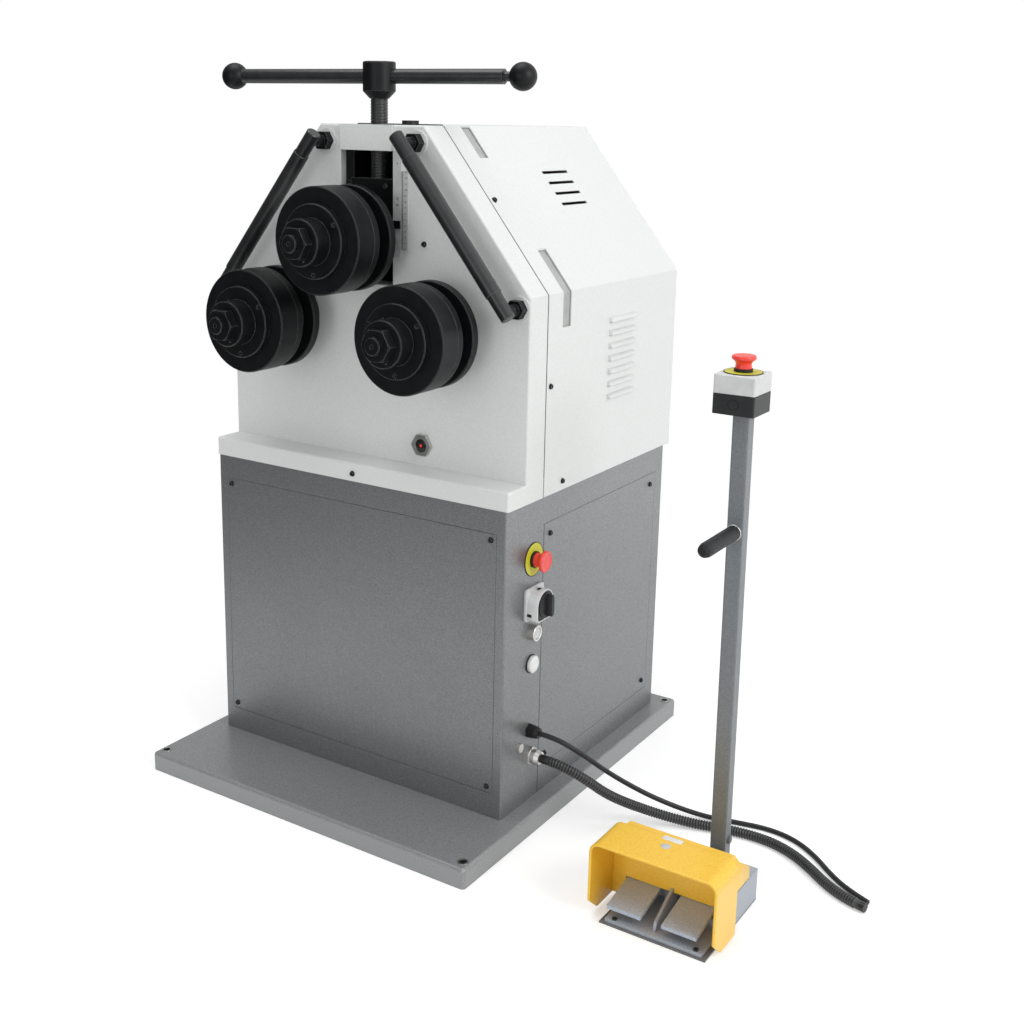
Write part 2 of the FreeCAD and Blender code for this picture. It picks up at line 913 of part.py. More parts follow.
# Carriage: block with the top shaft's bore, the spindle's slot and the pointer
carriage_half = "(slot_right - slide_clearance)"
carriage_front = f"({plate_face} + carriage_inset)"
carriage_base = f"({deck} + carriage_low)"
carriage_top = f"({carriage_base} + carriage_height)"
collar_base = f"({carriage_top} - collar_drop - collar_height)"
top_level = f"({deck} + top_shaft_height)"
slide_block = block(
    f"-{carriage_half}", carriage_front, carriage_base, f"2 * {carriage_half}", "carriage_depth", "carriage_height"
)
pointer_base = f"({carriage_base} + pointer_rise)"
pointer_front = f"({plate_face} - scale_thickness - slide_clearance - pointer_thickness)"
pointer_root_block = block(
    f"{carriage_half} - pointer_root",
    pointer_front,
    pointer_base,
    "pointer_root",
    f"{carriage_front} - {pointer_front}",
    "pointer_height",
)
pointer_tongue = block(
    f"{carriage_half} - pointer_root",
    pointer_front,
    pointer_base,
    "pointer_root + pointer_reach",
    "pointer_thickness",
    "pointer_height",
)
collar_slot_front = f"({spindle_y} - collar_radius - slide_clearance)"
carriage_rear = f"({carriage_front} + carriage_depth)"
collar_slot = block(
    "-collar_radius - slide_clearance",
    collar_slot_front,
    f"{collar_base} - slide_clearance",
    "2 * (collar_radius + slide_clearance)",
    f"{carriage_rear} - {collar_slot_front} + 1",
    "collar_height + 2 * slide_clearance",
)
neck_slot = block(
    "-neck_radius - slide_clearance",
    f"{spindle_y} - neck_radius - slide_clearance",
    collar_base,
    "2 * (neck_radius + slide_clearance)",
    f"{carriage_rear} - {spindle_y} + neck_radius + slide_clearance + 1",
    "collar_height + collar_drop + 1",
)
top_bore = rod(
    "Y", "0", f"{carriage_front} - 1", top_level, "shaft_radius + running_clearance", "carriage_depth + 2"
)
piece("carriage", less(fused(slide_block, pointer_root_block, pointer_tongue), collar_slot, neck_slot, top_bore))

# Spindle, and the T-handle on it
hub_base = f"({summit} + hub_gap)"
spindle_start = f"({carriage_top} + slide_clearance)"
piece(
    "spindle",
    turned(
        "Z",
        [
            ("0", collar_base),
            ("collar_radius", collar_base),
            ("collar_radius", f"{collar_base} + collar_height"),
            ("neck_radius", f"{collar_base} + collar_height"),
            ("neck_radius", spindle_start),
            ("spindle_radius", spindle_start),
            ("spindle_radius", hub_base),
            ("journal_radius", hub_base),
            ("journal_radius", f"{hub_base} + journal_height"),
            ("0", f"{hub_base} + journal_height"),
        ],
        y=spindle_y,
    ),
)
hub = turned(
    "Z",
    [
        ("0", "journal_height + slide_clearance"),
        ("journal_radius + seat_clearance", "journal_height + slide_clearance"),
        ("journal_radius + seat_clearance", "0"),
        ("hub_foot_radius", "0"),
        ("hub_radius", "hub_cone"),
        ("hub_radius", "hub_height - hub_chamfer"),
        ("hub_radius - hub_chamfer", "hub_height"),
        ("0", "hub_height"),
    ],
    y=spindle_y,
    z=hub_base,
)


def across_hub(start, radius, length):
    """A cylinder on the handle bar's axis, from that far along it."""
    bar = doc.addObject("Part::Cylinder", "Across")
    turn = FreeCAD.Rotation(FreeCAD.Vector(0, 0, 1), sizes["handle_turn"])
    bar.Placement = FreeCAD.Placement(FreeCAD.Vector(), turn.multiply(facing["X"]))
    bind(
        bar,
        x=f"({start}) * cos(handle_turn * 1 deg)",
        y=f"{spindle_y} + ({start}) * sin(handle_turn * 1 deg)",
        z=f"{hub_base} + bar_rise",
        Radius=radius,
        Height=length,
    )
    return bar


def handle_ball(centre):
    """A ball on the handle bar's axis, with its poles on that axis."""
    ball = doc.addObject("Part::Sphere", "Ball")
    turn = FreeCAD.Rotation(FreeCAD.Vector(0, 0, 1), sizes["handle_turn"])
    ball.Placement = FreeCAD.Placement(FreeCAD.Vector(), turn.multiply(facing["X"]))
    bind(
        ball,
        x=f"({centre}) * cos(handle_turn * 1 deg)",
        y=f"{spindle_y} + ({centre}) * sin(handle_turn * 1 deg)",
        z=f"{hub_base} + bar_rise",
        Radius="ball_radius",
    )
    return ball


piece("handle_hub", less(hub, across_hub("-2 * hub_radius", "bar_radius + seat_clearance", "4 * hub_radius")))
piece(
    "handle_bar",
    fused(
        across_hub("-bar_left + ball_seat", "bar_radius", "bar_left - ball_seat + bar_right - bar_end_gap"),
        across_hub("-bar_left", "bar_stub_radius", "bar_left + bar_right"),
    ),
)
left_seat = across_hub("-bar_left + ball_seat", "ball_radius", "ball_radius")
left_stub = across_hub("-bar_left - slide_clearance", "bar_stub_radius + slide_clearance", "ball_radius + 1")
right_stub = across_hub(
    "bar_right - ball_radius - 1", "bar_stub_radius + slide_clearance", "ball_radius + 1 + slide_clearance"
)
piece(
    "handle_balls",
    grouped(less(handle_ball("-bar_left"), left_seat, left_stub), less(handle_ball("bar_right"), right_stub)),
)

# Rollers: shaft, front ring, grooved ring, clamp hub and nut on each of three axes
roller_back = f"({plate_face} - roller_gap)"
grooved_front = f"({roller_back} - rear_disc_width - groove_width - thin_disc_width)"
ring_front = f"({grooved_front} - front_ring_width)"
flange_front = f"({ring_front} - flange_width)"
clamp_front = f"({flange_front} - clamp_width)"
nut_front = f"({clamp_front} - roller_nut_height)"
shaft_tip = f"({ring_front} - thread_length)"
ring_bore = "shaft_radius + seat_clearance"
thread_bore = "thread_radius + seat_clearance"
flange_screw_angles = (33, 153, 273)


def roller(side, x, z, shoulder_back, tail):
    piece(
        f"{side}_shaft",
        turned(
            "Y",
            [
                ("0", f"{shaft_tip} + 2 * centre_hole"),
                ("centre_hole", f"{shaft_tip} + centre_hole"),
                ("centre_hole", shaft_tip),
                ("thread_radius - ring_chamfer", shaft_tip),
                ("thread_radius", f"{shaft_tip} + ring_chamfer"),
                ("thread_radius", ring_front),
                ("shaft_radius", ring_front),
                ("shaft_radius", roller_back),
                ("shoulder_radius", roller_back),
                ("shoulder_radius", shoulder_back),
                ("shaft_radius", shoulder_back),
                ("shaft_radius", tail),
                ("0", tail),
            ],
            x=x,
            z=z,
        ),
    )
    piece(
        f"{side}_front_ring",
        turned(
            "Y",
            [
                (ring_bore, ring_front),
                ("ring_radius - ring_chamfer", ring_front),
                ("ring_radius", f"{ring_front} + ring_chamfer"),
                ("ring_radius", f"{grooved_front} - ring_chamfer / 2"),
                ("ring_radius - ring_chamfer / 2", grooved_front),
                (ring_bore, grooved_front),
            ],
            x=x,
            z=z,
        ),
    )
    groove_front = f"({grooved_front} + thin_disc_width)"
    groove_back = f"({roller_back} - rear_disc_width)"
    piece(
        f"{side}_grooved_ring",
        turned(
            "Y",
            [
                (ring_bore, grooved_front),
                ("ring_radius - ring_chamfer / 2", grooved_front),
                ("ring_radius", f"{grooved_front} + ring_chamfer / 2"),
                ("ring_radius", f"{groove_front} - ring_chamfer"),
                ("ring_radius - ring_chamfer", groove_front),
                ("groove_radius", groove_front),
                ("groove_radius", groove_back),
                ("ring_radius - ring_chamfer", groove_back),
                ("ring_radius", f"{groove_back} + ring_chamfer"),
                ("ring_radius", f"{roller_back} - ring_chamfer"),
                ("ring_radius - ring_chamfer", roller_back),
                (ring_bore, roller_back),
            ],
            x=x,
            z=z,
        ),
    )
    clamp = turned(
        "Y",
        [
            (thread_bore, clamp_front),
            ("clamp_radius - ring_chamfer", clamp_front),
            ("clamp_radius", f"{clamp_front} + ring_chamfer"),
            ("clamp_radius", flange_front),
            ("flange_radius - ring_chamfer", flange_front),
            ("flange_radius", f"{flange_front} + ring_chamfer"),
            ("flange_radius", ring_front),
            (thread_bore, ring_front),
        ],
        x=x,
        z=z,
    )
    screws = [
        rod(
            "Y",
            f"{x} + flange_screw_circle * cos({angle} deg)",
            f"{flange_front} - 1",
            f"{z} + flange_screw_circle * sin({angle} deg)",
            "flange_screw_radius",
            "flange_screw_depth + 1",
        )
        for angle in flange_screw_angles
    ]
    piece(f"{side}_clamp_hub", less(clamp, *screws))
    corner = "(roller_nut_flats / sqrt(3))"
    bevel = turned(
        "Y",
        [
            (thread_bore, nut_front),
            (f"{corner} - roller_nut_chamfer", nut_front),
            (f"{corner} + 1", f"{nut_front} + roller_nut_chamfer"),
            (f"{corner} + 1", clamp_front),
            (thread_bore, clamp_front),
        ],
        x=x,
        z=z,
    )
    piece(f"{side}_nut", common(hexagon("Y", x, nut_front, z, "roller_nut_flats", "roller_nut_height"), bevel))


bearing_face = f"({plate_face} - bearing_flange_width - slide_clearance)"
shaft_end = f"({rear_plate_y} + bearing_plate_thickness + shaft_tail)"
roller("left", lower_shafts[0], shaft_level, bearing_face, shaft_end)
roller("right", lower_shafts[1], shaft_level, bearing_face, shaft_end)
roller("top", "0", top_level, f"({carriage_front} - slide_clearance)", f"({carriage_rear} - slide_clearance)")

# Flanged front bearings and plain rear bearings
bearing_inner = "shaft_radius + running_clearance"
bearings = []
for x in lower_shafts:
    bearings.append(
        turned(
            "Y",
            [
                (bearing_inner, f"{plate_face} - bearing_flange_width"),
                ("bearing_flange_radius - ring_chamfer", f"{plate_face} - bearing_flange_width"),
                ("bearing_flange_radius", f"{plate_face} - bearing_flange_width + ring_chamfer"),
                ("bearing_flange_radius", plate_face),
                ("bearing_radius - seat_clearance", plate_face),
                ("bearing_radius - seat_clearance", plate_back),
                (bearing_inner, plate_back),
            ],
            x=x,
            z=shaft_level,
        )
    )
    bearings.append(
        less(
            rod("Y", x, rear_plate_y, shaft_level, "rear_bearing_radius - seat_clearance", "bearing_plate_thickness"),
            rod("Y", x, f"{rear_plate_y} - 1", shaft_level, bearing_inner, "bearing_plate_thickness + 2"),
        )
    )
piece("shaft_bearings", grouped(*bearings))


def involute(base_radius, radius):
    """Angle that an involute has turned through where it reaches a radius."""
    pressure = math.acos(min(1, base_radius / radius))
    return math.tan(pressure) - pressure


def gear_wire(teeth, first_tooth):
    """Closed outline of an external involute gear, with its first tooth at that angle."""
    module = sizes["gear_module"]
    pitch_radius = module * teeth / 2
    base_radius = pitch_radius * math.cos(math.radians(20))
    tip_radius = pitch_radius + 0.9 * module
    root_radius = pitch_radius - 1.2 * module
    half_tooth = math.pi / (2 * teeth) - sizes["gear_backlash"] / (4 * pitch_radius)
    at_base = half_tooth + involute(base_radius, pitch_radius)
    start_radius = max(base_radius, root_radius)
    steps = 4
    radii = [start_radius + (tip_radius - start_radius) * k / steps for k in range(steps + 1)]
    flank = [(radius, at_base - involute(base_radius, radius)) for radius in radii]
    corners = []
    for tooth in range(teeth):
        middle = first_tooth + 2 * math.pi * tooth / teeth
        rising = [(root_radius, -at_base)] + [(radius, -angle) for radius, angle in flank]
        falling = [(radius, angle) for radius, angle in reversed(flank)] + [(root_radius, at_base)]
        for radius, angle in rising + falling:
            corners.append(
                FreeCAD.Vector(radius * math.cos(middle + angle), 0, radius * math.sin(middle + angle))
            )
    return Part.makePolygon(corners + corners[:1])


def gear(teeth, first_tooth, x):
    """A gear blank with teeth, cut through for its shaft."""
    wheel = doc.addObject("Part::Feature", "Gear")
    blank = Part.Face(gear_wire(teeth, first_tooth))
    wheel.Shape = blank.extrude(FreeCAD.Vector(0, sizes["gear_width"], 0))
    bind(wheel, x=x, y=f"{rear_plate_y} - gear_gap - gear_width", z=shaft_level)
    return wheel


# Bull gears on the driven shafts; their tooth count follows from the shafts' spacing.
pinion_count = int(sizes["pinion_teeth"])
bull_count = round(sizes["shaft_spacing"] / sizes["gear_module"]) - pinion_count
gap_towards_pinion = math.pi / bull_count
for side, x in zip(("left", "right"), lower_shafts):
    bore = rod("Y", x, f"{rear_plate_y} - gear_gap - gear_width - 1", shaft_level, ring_bore, "gear_width + 2")
    piece(f"{side}_gear", less(gear(bull_count, gap_towards_pinion, x), bore))
pinion_shaft = rod(
    "Y",
    "0",
    f"{rear_plate_y} - gear_gap - gear_width - pinion_shaft_nose",
    shaft_level,
    "pinion_shaft_radius",
    "pinion_shaft_nose + gear_width + gear_gap + bearing_plate_thickness + pinion_shaft_reach",
)
piece("drive_pinion", fused(gear(pinion_count, 0, "0"), pinion_shaft))
gearbox_y = f"({rear_plate_y} + bearing_plate_thickness)"
gearbox = block(
    "-gearbox_size / 2", gearbox_y, f"{shaft_level} - gearbox_size / 2", "gearbox_size", "gearbox_depth", "gearbox_size"
)
motor_length = f"({cover_y} + {cover_length} - cover_sheet - motor_rear_gap - {gearbox_y} - gearbox_depth)"
motor = rod("Y", "0", f"{gearbox_y} + gearbox_depth", shaft_level, "motor_radius", motor_length)
motor_bore = rod(
    "Y",
    "0",
    f"{gearbox_y} - 1",
    shaft_level,
    "pinion_shaft_radius + running_clearance",
    "pinion_shaft_reach + slide_clearance + 1",
)
piece("gearmotor", less(fused(gearbox, motor), motor_bore))

# Guide bars on posts, parallel to the slanted edges
guide_y = f"({plate_face} - guide_standoff)"
guide_length = "(guide_upper_overhang + guide_post_spacing + guide_lower_overhang)"
guides = []
for number, side in enumerate((-1, 1)):
    bar = turned(
        "X",
        [
            ("0", "0"),
            ("guide_end_radius - ring_chamfer", "0"),
            ("guide_end_radius", "ring_chamfer"),
            ("guide_end_radius", "guide_end_length"),
            ("guide_radius", "guide_end_length"),
            ("guide_radius", f"{guide_length} - guide_end_length"),
            ("guide_end_radius", f"{guide_length} - guide_end_length"),
            ("guide_end_radius", f"{guide_length} - ring_chamfer"),
            ("guide_end_radius - ring_chamfer", guide_length),
            ("0", guide_length),
        ],
        x=f"{post_places[2 * number][0]} - {side} * guide_upper_overhang * {slant_run} / {slant}",
        y=guide_y,
        z=f"{post_places[2 * number][1]} + guide_upper_overhang * {slant_rise} / {slant}",
    )
    lean = slant_angle if side > 0 else 180 - slant_angle
    place = bar.Placement
    place.Rotation = FreeCAD.Rotation(FreeCAD.Vector(0, 1, 0), lean)
    bar.Placement = place
    seats = [
        rod("Y", x, f"{guide_y} - 5", z, "post_radius + seat_clearance", "guide_standoff")
        for x, z in post_places[2 * number : 2 * number + 2]
    ]
    guides.append(less(bar, *seats))
piece("guide_bars", grouped(*guides))
posts = [
    fused(
        rod("Y", x, f"{guide_y} - 4.5", z, "post_radius", "guide_standoff + 4.5 + post_depth"),
        rod("Y", x, f"{plate_face} - post_washer_height", z, "post_washer_radius", "post_washer_height"),
        hexagon(
            "Y",
            x,
            f"{plate_face} - post_washer_height - post_nut_height",
            z,
            "post_nut_flats",
            "post_nut_height",
        ),
    )
    for x, z in post_places
]
piece("guide_posts", grouped(*posts))

# Depth scale with its ruler, oil sight glass and filler cap
scale = block(
    "slot_right + scale_gap",
    f"{plate_face} - scale_thickness",
    f"{deck} + scale_low",
    "scale_width",
    "scale_thickness",
    "scale_height",
)
ruler = block(
    "slot_right + scale_gap + scale_width + ruler_gap",
    f"{plate_face} - scale_thickness",
    f"{deck} + ruler_low",
    "ruler_width",
    "scale_thickness",
    "ruler_height",
)
piece("depth_scale", grouped(scale, ruler))
sight_ring = less(
    hexagon("Y", "sight_side", f"{plate_face} - sight_depth", sight_level, "sight_flats", "sight_depth"),
    rod("Y", "sight_side", f"{plate_face} - sight_depth - 1", sight_level, "sight_glass_radius", "sight_depth + 2"),
)
sight_pane = rod(
    "Y",
    "sight_side",
    f"{plate_face} - sight_depth + 1.5",
    sight_level,
    "sight_glass_radius - seat_clearance",
    "sight_glass_depth",
)
filler = rod(
    "Z", "filler_side", f"{plate_face} + filler_inset", summit, "filler_radius", "filler_height"
)
piece("oil_fittings", grouped(sight_ring, sight_pane, filler))


def screw(along, out, x, y, z):
    """A button head with a hexagon socket; out is 1 or -1 along its axis, and x, y, z its seat."""
    turn = facing[along] if out > 0 else FreeCAD.Rotation(FreeCAD.Vector(0, 0, 1), 180).multiply(facing[along])
    head = doc.addObject("Part::Cone", "Head")
    head.Placement = FreeCAD.Placement(FreeCAD.Vector(), turn)
    bind(head, x=x, y=y, z=z, Radius1="screw_radius", Radius2="screw_tip_radius", Height="screw_height")
    socket = hexagon(along, x, y, z, "socket_flats", "socket_depth + 1")
    socket.Placement = FreeCAD.Placement(FreeCAD.Vector(), turn)
    axis = along.lower()
    seat = {"x": x, "y": y, "z": z}[axis]
    bind(socket, **{axis: f"{seat} + {out} * (screw_height - socket_depth)"})
    return less(head, socket)


screws = []
for x in (-1, 1):
    for z in ("screw_inset", f"{front_panel_height} - screw_inset"):
        screws.append(
            screw("Y", -1, f"{x} * ({front_panel_width} / 2 - screw_inset)", front, f"base_height + front_panel_low + {z}")
        )
for y in ("side_screw_inset", f"{side_panel_length} - side_screw_inset"):
    for z in ("side_screw_inset", f"{side_panel_height} - side_screw_inset"):
        screws.append(screw("X", 1, face, f"{side_panel_start} + {y}", f"base_height + side_panel_low + {z}"))
screws.append(screw("Y", -1, "0", front, f"{deck} + tray_height - tray_screw_drop"))
screws.append(screw("Y", -1, "plate_screw_side", plate_face, f"{deck} + plate_screw_height"))
for side in (-1, 1):
    for y, z in (("cover_screw_front", "cover_screw_upper"), ("cover_screw_back", "cover_screw_lower")):
        screws.append(screw("X", side, f"{side} * {housing_half}", f"{cover_y} + {y}", f"{deck} + {z}"))
    x, z = on_slant("cover_screw_slant", side)
    slanted = screw("Z", 1, x, f"{cover_y} + cover_screw_front", z)
    lean = FreeCAD.Rotation(FreeCAD.Vector(0, 1, 0), side * (90 - (90 - slant_angle)))
    head, socket = slanted.Base, slanted.Tool
    head.Placement = FreeCAD.Placement(FreeCAD.Vector(), lean)
    socket.Placement = FreeCAD.Placement(FreeCAD.Vector(), lean)
    rise = "(screw_height - socket_depth)"
    bind(
        socket,
        x=f"{x} + {side} * {rise} * {slant_rise} / {slant}",
        z=f"{z} + {rise} * {slant_run} / {slant}",
    )
    screws.append(slanted)
piece("panel_screws", grouped(*screws))


def stop_collar(along, x, y, z, length):
    """Shank, round legend plate and collar of an emergency stop, with the button's bore."""
    return turned(
        along,
        [
            ("stop_bore", "-shank_length"),
            ("control_shank", "-shank_length"),
            ("control_shank", "0"),
            ("legend_radius", "0"),
            ("legend_radius", "legend_thickness"),
            ("stop_collar_radius", "legend_thickness"),
            ("stop_collar_radius", f"legend_thickness + {length} - ring_chamfer"),
            ("stop_collar_radius - ring_chamfer", f"legend_thickness + {length}"),
            ("stop_bore", f"legend_thickness + {length}"),
        ],
        x=x,
        y=y,
        z=z,
    )


def stop_button(along, x, y, z, length):
    """Pin, neck and mushroom of an emergency stop, drawn from the same seat as its collar."""
    foot = f"(legend_thickness + {length} + stop_travel_gap)"
    cap = f"({foot} + stop_neck_length)"
    return turned(
        along,
        [
            ("0", f"{foot} - stop_pin_length"),
            ("stop_pin_radius", f"{foot} - stop_pin_length"),
            ("stop_pin_radius", foot),
            ("stop_neck_radius", foot),
            ("stop_neck_radius", cap),
            ("mushroom_radius - ring_chamfer", cap),
            ("mushroom_radius", f"{cap} + ring_chamfer"),
            ("mushroom_radius", f"{cap} + mushroom_height - mushroom_crown"),
            ("mushroom_radius - mushroom_crown / 2", f"{cap} + mushroom_height - mushroom_crown / 3"),
            ("mushroom_radius - 2 * mushroom_crown", f"{cap} + mushroom_height"),
            ("0", f"{cap} + mushroom_height"),
        ],
        x=x,
        y=y,
        z=z,
    )


# Mast and button box places, which the station's emergency stop needs too
mast_x = "(station_left + mast_side)"
mast_y = "(-station_front + mast_inset)"
box_x = f"({mast_x} - box_shift)"
box_top = "(mast_top + box_height)"
station_collar_length = "(stop_collar_length / 3)"

# Controls on the cabinet
stop_z = "(base_height + stop_height)"
switch_z = "(base_height + switch_height)"
start_z = "(base_height + start_height)"
bezel = turned(
    "X",
    [
        ("bezel_bore", "-shank_length"),
        ("control_shank", "-shank_length"),
        ("control_shank", "0"),
        ("bezel_radius", "0"),
        ("bezel_radius", "bezel_length - ring_chamfer"),
        ("bezel_radius - ring_chamfer", "bezel_length"),
        ("bezel_bore", "bezel_length"),
    ],
    x=face,
    y=control_y,
    z=start_z,
)
piece(
    "control_collars",
    grouped(
        stop_collar("X", face, control_y, stop_z, "stop_collar_length"),
        stop_collar("Z", box_x, mast_y, box_top, station_collar_length),
        bezel,
    ),
)
piece("stop_button", stop_button("X", face, control_y, stop_z, "stop_collar_length"))
switch_foot = block(
    face,
    f"{control_y} - switch_size / 2",
    f"{switch_z} - switch_size / 2",
    "switch_plate",
    "switch_size",
    "switch_size",
)
switch_drum = rod("X", f"{face} - shank_length", control_y, switch_z, "control_shank", "shank_length + 1")
switch_ring = rod("X", face, control_y, switch_z, "switch_radius", "switch_plate + switch_length")
switch_front = f"({face} + switch_plate + switch_length)"
switch_bore = rod(
    "X",
    f"{switch_front} - knob_pin_length - 1",
    control_y,
    switch_z,
    "knob_pin_radius + running_clearance",
    "knob_pin_length + 2",
)
piece("switch_body", less(fused(switch_foot, switch_drum, switch_ring), switch_bore))
knob = turned(
    "X",
    [
        ("0", "-knob_pin_length"),
        ("knob_pin_radius", "-knob_pin_length"),
        ("knob_pin_radius", "slide_clearance"),
        ("knob_radius", "slide_clearance"),
        ("knob_radius", "knob_length - ring_chamfer"),
        ("knob_radius - ring_chamfer", "knob_length"),
        ("0", "knob_length"),
    ],
    x=switch_front,
    y=control_y,
    z=switch_z,
)
knob_side = block(
    f"{switch_front} + slide_clearance + 3",
    f"{control_y} + knob_flat",
    f"{switch_z} - knob_radius - 1",
    "knob_length",
    "knob_radius",
    "2 * knob_radius + 2",
)
piece("switch_knob", less(knob, knob_side))
piece(
    "start_button",
    turned(
        "X",
        [
            ("0", "bezel_length - start_inset - start_length"),
            ("start_radius", "bezel_length - start_inset - start_length"),
            ("start_radius", "bezel_length + start_inset - 1"),
            ("start_radius - ring_chamfer", "bezel_length + start_inset"),
            ("0", "bezel_length + start_inset"),
        ],
        x=face,
        y=control_y,
        z=start_z,
    ),
)
piece(
    "pilot_lamp",
    turned(
        "X",
        [
            ("0", "-shank_length"),
            ("control_shank", "-shank_length"),
            ("control_shank", "0"),
            ("lamp_radius", "0"),
            ("lamp_radius", "lamp_length - lamp_crown"),
            ("lamp_radius - lamp_crown", "lamp_length - lamp_crown / 3"),
            ("lamp_radius / 2", "lamp_length"),
            ("0", "lamp_length"),
        ],
        x=face,
        y=control_y,
        z="base_height + lamp_height",
    ),
)


def gland(y, z, radius, length, bore):
    """Hexagon foot, narrower nut and a mouth that the lead leaves by."""
    foot = hexagon("X", face, y, z, f"2 * {radius}", f"{length} / 3")
    barrel = turned(
        "X",
        [
            ("0", "0"),
            (f"{radius} * 0.93", "0"),
            (f"{radius} * 0.93", f"{length} * 0.7"),
            (f"{radius} * 0.75", length),
            ("0", length),
        ],
        x=face,
        y=y,
        z=z,
    )
    return less(fused(foot, barrel), rod("X", f"{face} + {length} - 4", y, z, bore, "5"))


cable_y = f"({front} + cable_gland_inset)"
hose_y = f"({front} + hose_gland_inset)"
piece(
    "lead_glands",
    grouped(
        gland(cable_y, "(base_height + cable_gland_height)", "cable_gland_radius", "cable_gland_length", "2"),
        gland(hose_y, "(base_height + hose_gland_height)", "hose_gland_radius", "hose_gland_length", "hose_bore / 2"),
        rod("X", face, f"{front} + plug_inset", "base_height + plug_height", "plug_radius", "plug_length"),
    ),
)

# Foot plate with the mast's socket
mast_left = f"({mast_x} - mast_width / 2)"
mast_front = f"({mast_y} - mast_depth / 2)"
socket = block(
    f"{mast_left} - mast_socket_wall",
    f"{mast_front} - mast_socket_wall",
    "0",
    "mast_width + 2 * mast_socket_wall",
    "mast_depth + 2 * mast_socket_wall",
    "mast_socket_height",
)
socket_bolt = rod(
    "X",
    f"{mast_x} + mast_width / 2 + mast_socket_wall",
    mast_y,
    "mast_bolt_height",
    "mast_bolt_radius",
    "mast_bolt_length",
)
socket_hole = block(
    f"{mast_left} - slide_clearance",
    f"{mast_front} - slide_clearance",
    "station_plate",
    "mast_width + 2 * slide_clearance",
    "mast_depth + 2 * slide_clearance",
    "mast_socket_height",
)
foot_sheet = block("station_left", "-station_front", "0", "station_width", "station_depth", "station_plate")
piece("foot_plate", less(fused(foot_sheet, socket, socket_bolt), socket_hole))

# Foot switch casting: floor, rear block, fin between the pedals and ears for their pins
block_front = "(-station_front + casting_block_front)"
casting_floor_block = block(
    "station_left + 2 * casting_inset",
    "-station_front + casting_inset",
    "station_plate",
    "station_width - 4 * casting_inset",
    "casting_block_front",
    "casting_floor",
)
rear_block = block(
    "station_left",
    block_front,
    "station_plate",
    "station_width",
    "casting_block_depth",
    "casting_block_height",
)
rear_hollow = block(
    "station_left + casting_wall",
    f"{block_front} + casting_wall",
    "station_plate - 1",
    "station_width - 2 * casting_wall",
    "casting_block_depth - 2 * casting_wall",
    "casting_block_height - casting_wall + 1",
)
fin_floor = "(station_plate + casting_floor)"
fin = plate(
    "YZ_Plane",
    [
        ("fin_front", f"{fin_floor} - 1"),
        ("fin_front", f"{fin_floor} + 2"),
        ("fin_front + 4", f"{fin_floor} + fin_front_height"),
        ("fin_rear", "station_plate + fin_rear_height"),
        ("casting_block_front + 1", "station_plate + fin_rear_height"),
        ("casting_block_front + 1", f"{fin_floor} - 1"),
    ],
    "fin_thickness",
    x="station_left + fin_side",
    y="-station_front",
)
pedal_places = [("left", "(station_left + left_pedal_inset)"), ("right", "(station_left + right_pedal_inset)")]
ears = []
ear_holes = []
pins = []
pedal_pin_y = "(-station_front + pedal_pin_inset)"
for side, x in pedal_places:
    for start in (f"{x} - ear_gap - ear_thickness", f"{x} + pedal_width + ear_gap"):
        ears.append(
            block(
                start,
                f"{pedal_pin_y} - 2 * pedal_pin_radius",
                "station_plate",
                "ear_thickness",
                f"{block_front} - {pedal_pin_y} + 2 * pedal_pin_radius + 1",
                "ear_height - station_plate",
            )
        )
    pin_start = f"({x} - ear_gap - ear_thickness)"
    pin_length = "(pedal_width + 2 * ear_gap + 2 * ear_thickness)"
    ear_holes.append(
        rod("X", f"{pin_start} - 1", pedal_pin_y, "pedal_pin_height", "pedal_pin_radius + running_clearance", f"{pin_length} + 2")
    )
    pins.append(rod("X", pin_start, pedal_pin_y, "pedal_pin_height", "pedal_pin_radius", pin_length))
piece("foot_casting", less(fused(casting_floor_block, less(rear_block, rear_hollow), fin, *ears), *ear_holes))
piece("pedal_pins", grouped(*pins))

# Pedals, hinged on their pins at the back
for side, x in pedal_places:
    tread = plate(
        "YZ_Plane",
        [
            ("pedal_front", "pedal_front_height - pedal_thickness"),
            ("pedal_front", "pedal_front_height"),
            ("pedal_rear", "pedal_rear_height"),
            ("pedal_pin_inset + pedal_heel", "pedal_pin_height + pedal_heel"),
            ("pedal_pin_inset + pedal_heel", "pedal_pin_height - pedal_heel"),
            ("pedal_rear", "pedal_rear_height - pedal_thickness"),
        ],
        "pedal_width",
        x=x,
        y="-station_front",
    )
    hole = rod(
        "X", f"{x} - 1", pedal_pin_y, "pedal_pin_height", "pedal_pin_radius + running_clearance", "pedal_width + 2"
    )
    piece(f"{side}_pedal", less(tread, hole))

# Guard: wide hood over the pedals and a narrower housing behind it
guard_left = "(station_left - guard_overhang + 1)"
guard_width = "(station_width + 2 * guard_overhang)"
hood = plate(
    "YZ_Plane",
    [
        ("guard_front", "guard_low"),
        ("guard_front", "guard_top"),
        ("guard_front + guard_side_depth", "guard_top"),
        ("guard_front + guard_side_depth", "guard_low + 12"),
    ],
    guard_width,
    x=guard_left,
    y="-station_front",
)
hood_round = sizes["guard_top"]
rounded(hood, "guard_round", lambda box: near(box.ZMin, hood_round) and box.YLength > 1 and box.XLength < 1)
hood_mouth = plate(
    "YZ_Plane",
    [
        ("guard_front - 1", "guard_low - 1"),
        ("guard_front - 1", "guard_top - guard_wall"),
        ("guard_front + guard_side_depth - guard_wall", "guard_top - guard_wall"),
        ("guard_front + guard_side_depth - guard_wall", "guard_low - 1"),
    ],
    f"{guard_width} - 2 * guard_wall",
    x=f"{guard_left} + guard_wall",
    y="-station_front",
)
mouth_round = sizes["guard_top"] - sizes["guard_wall"]
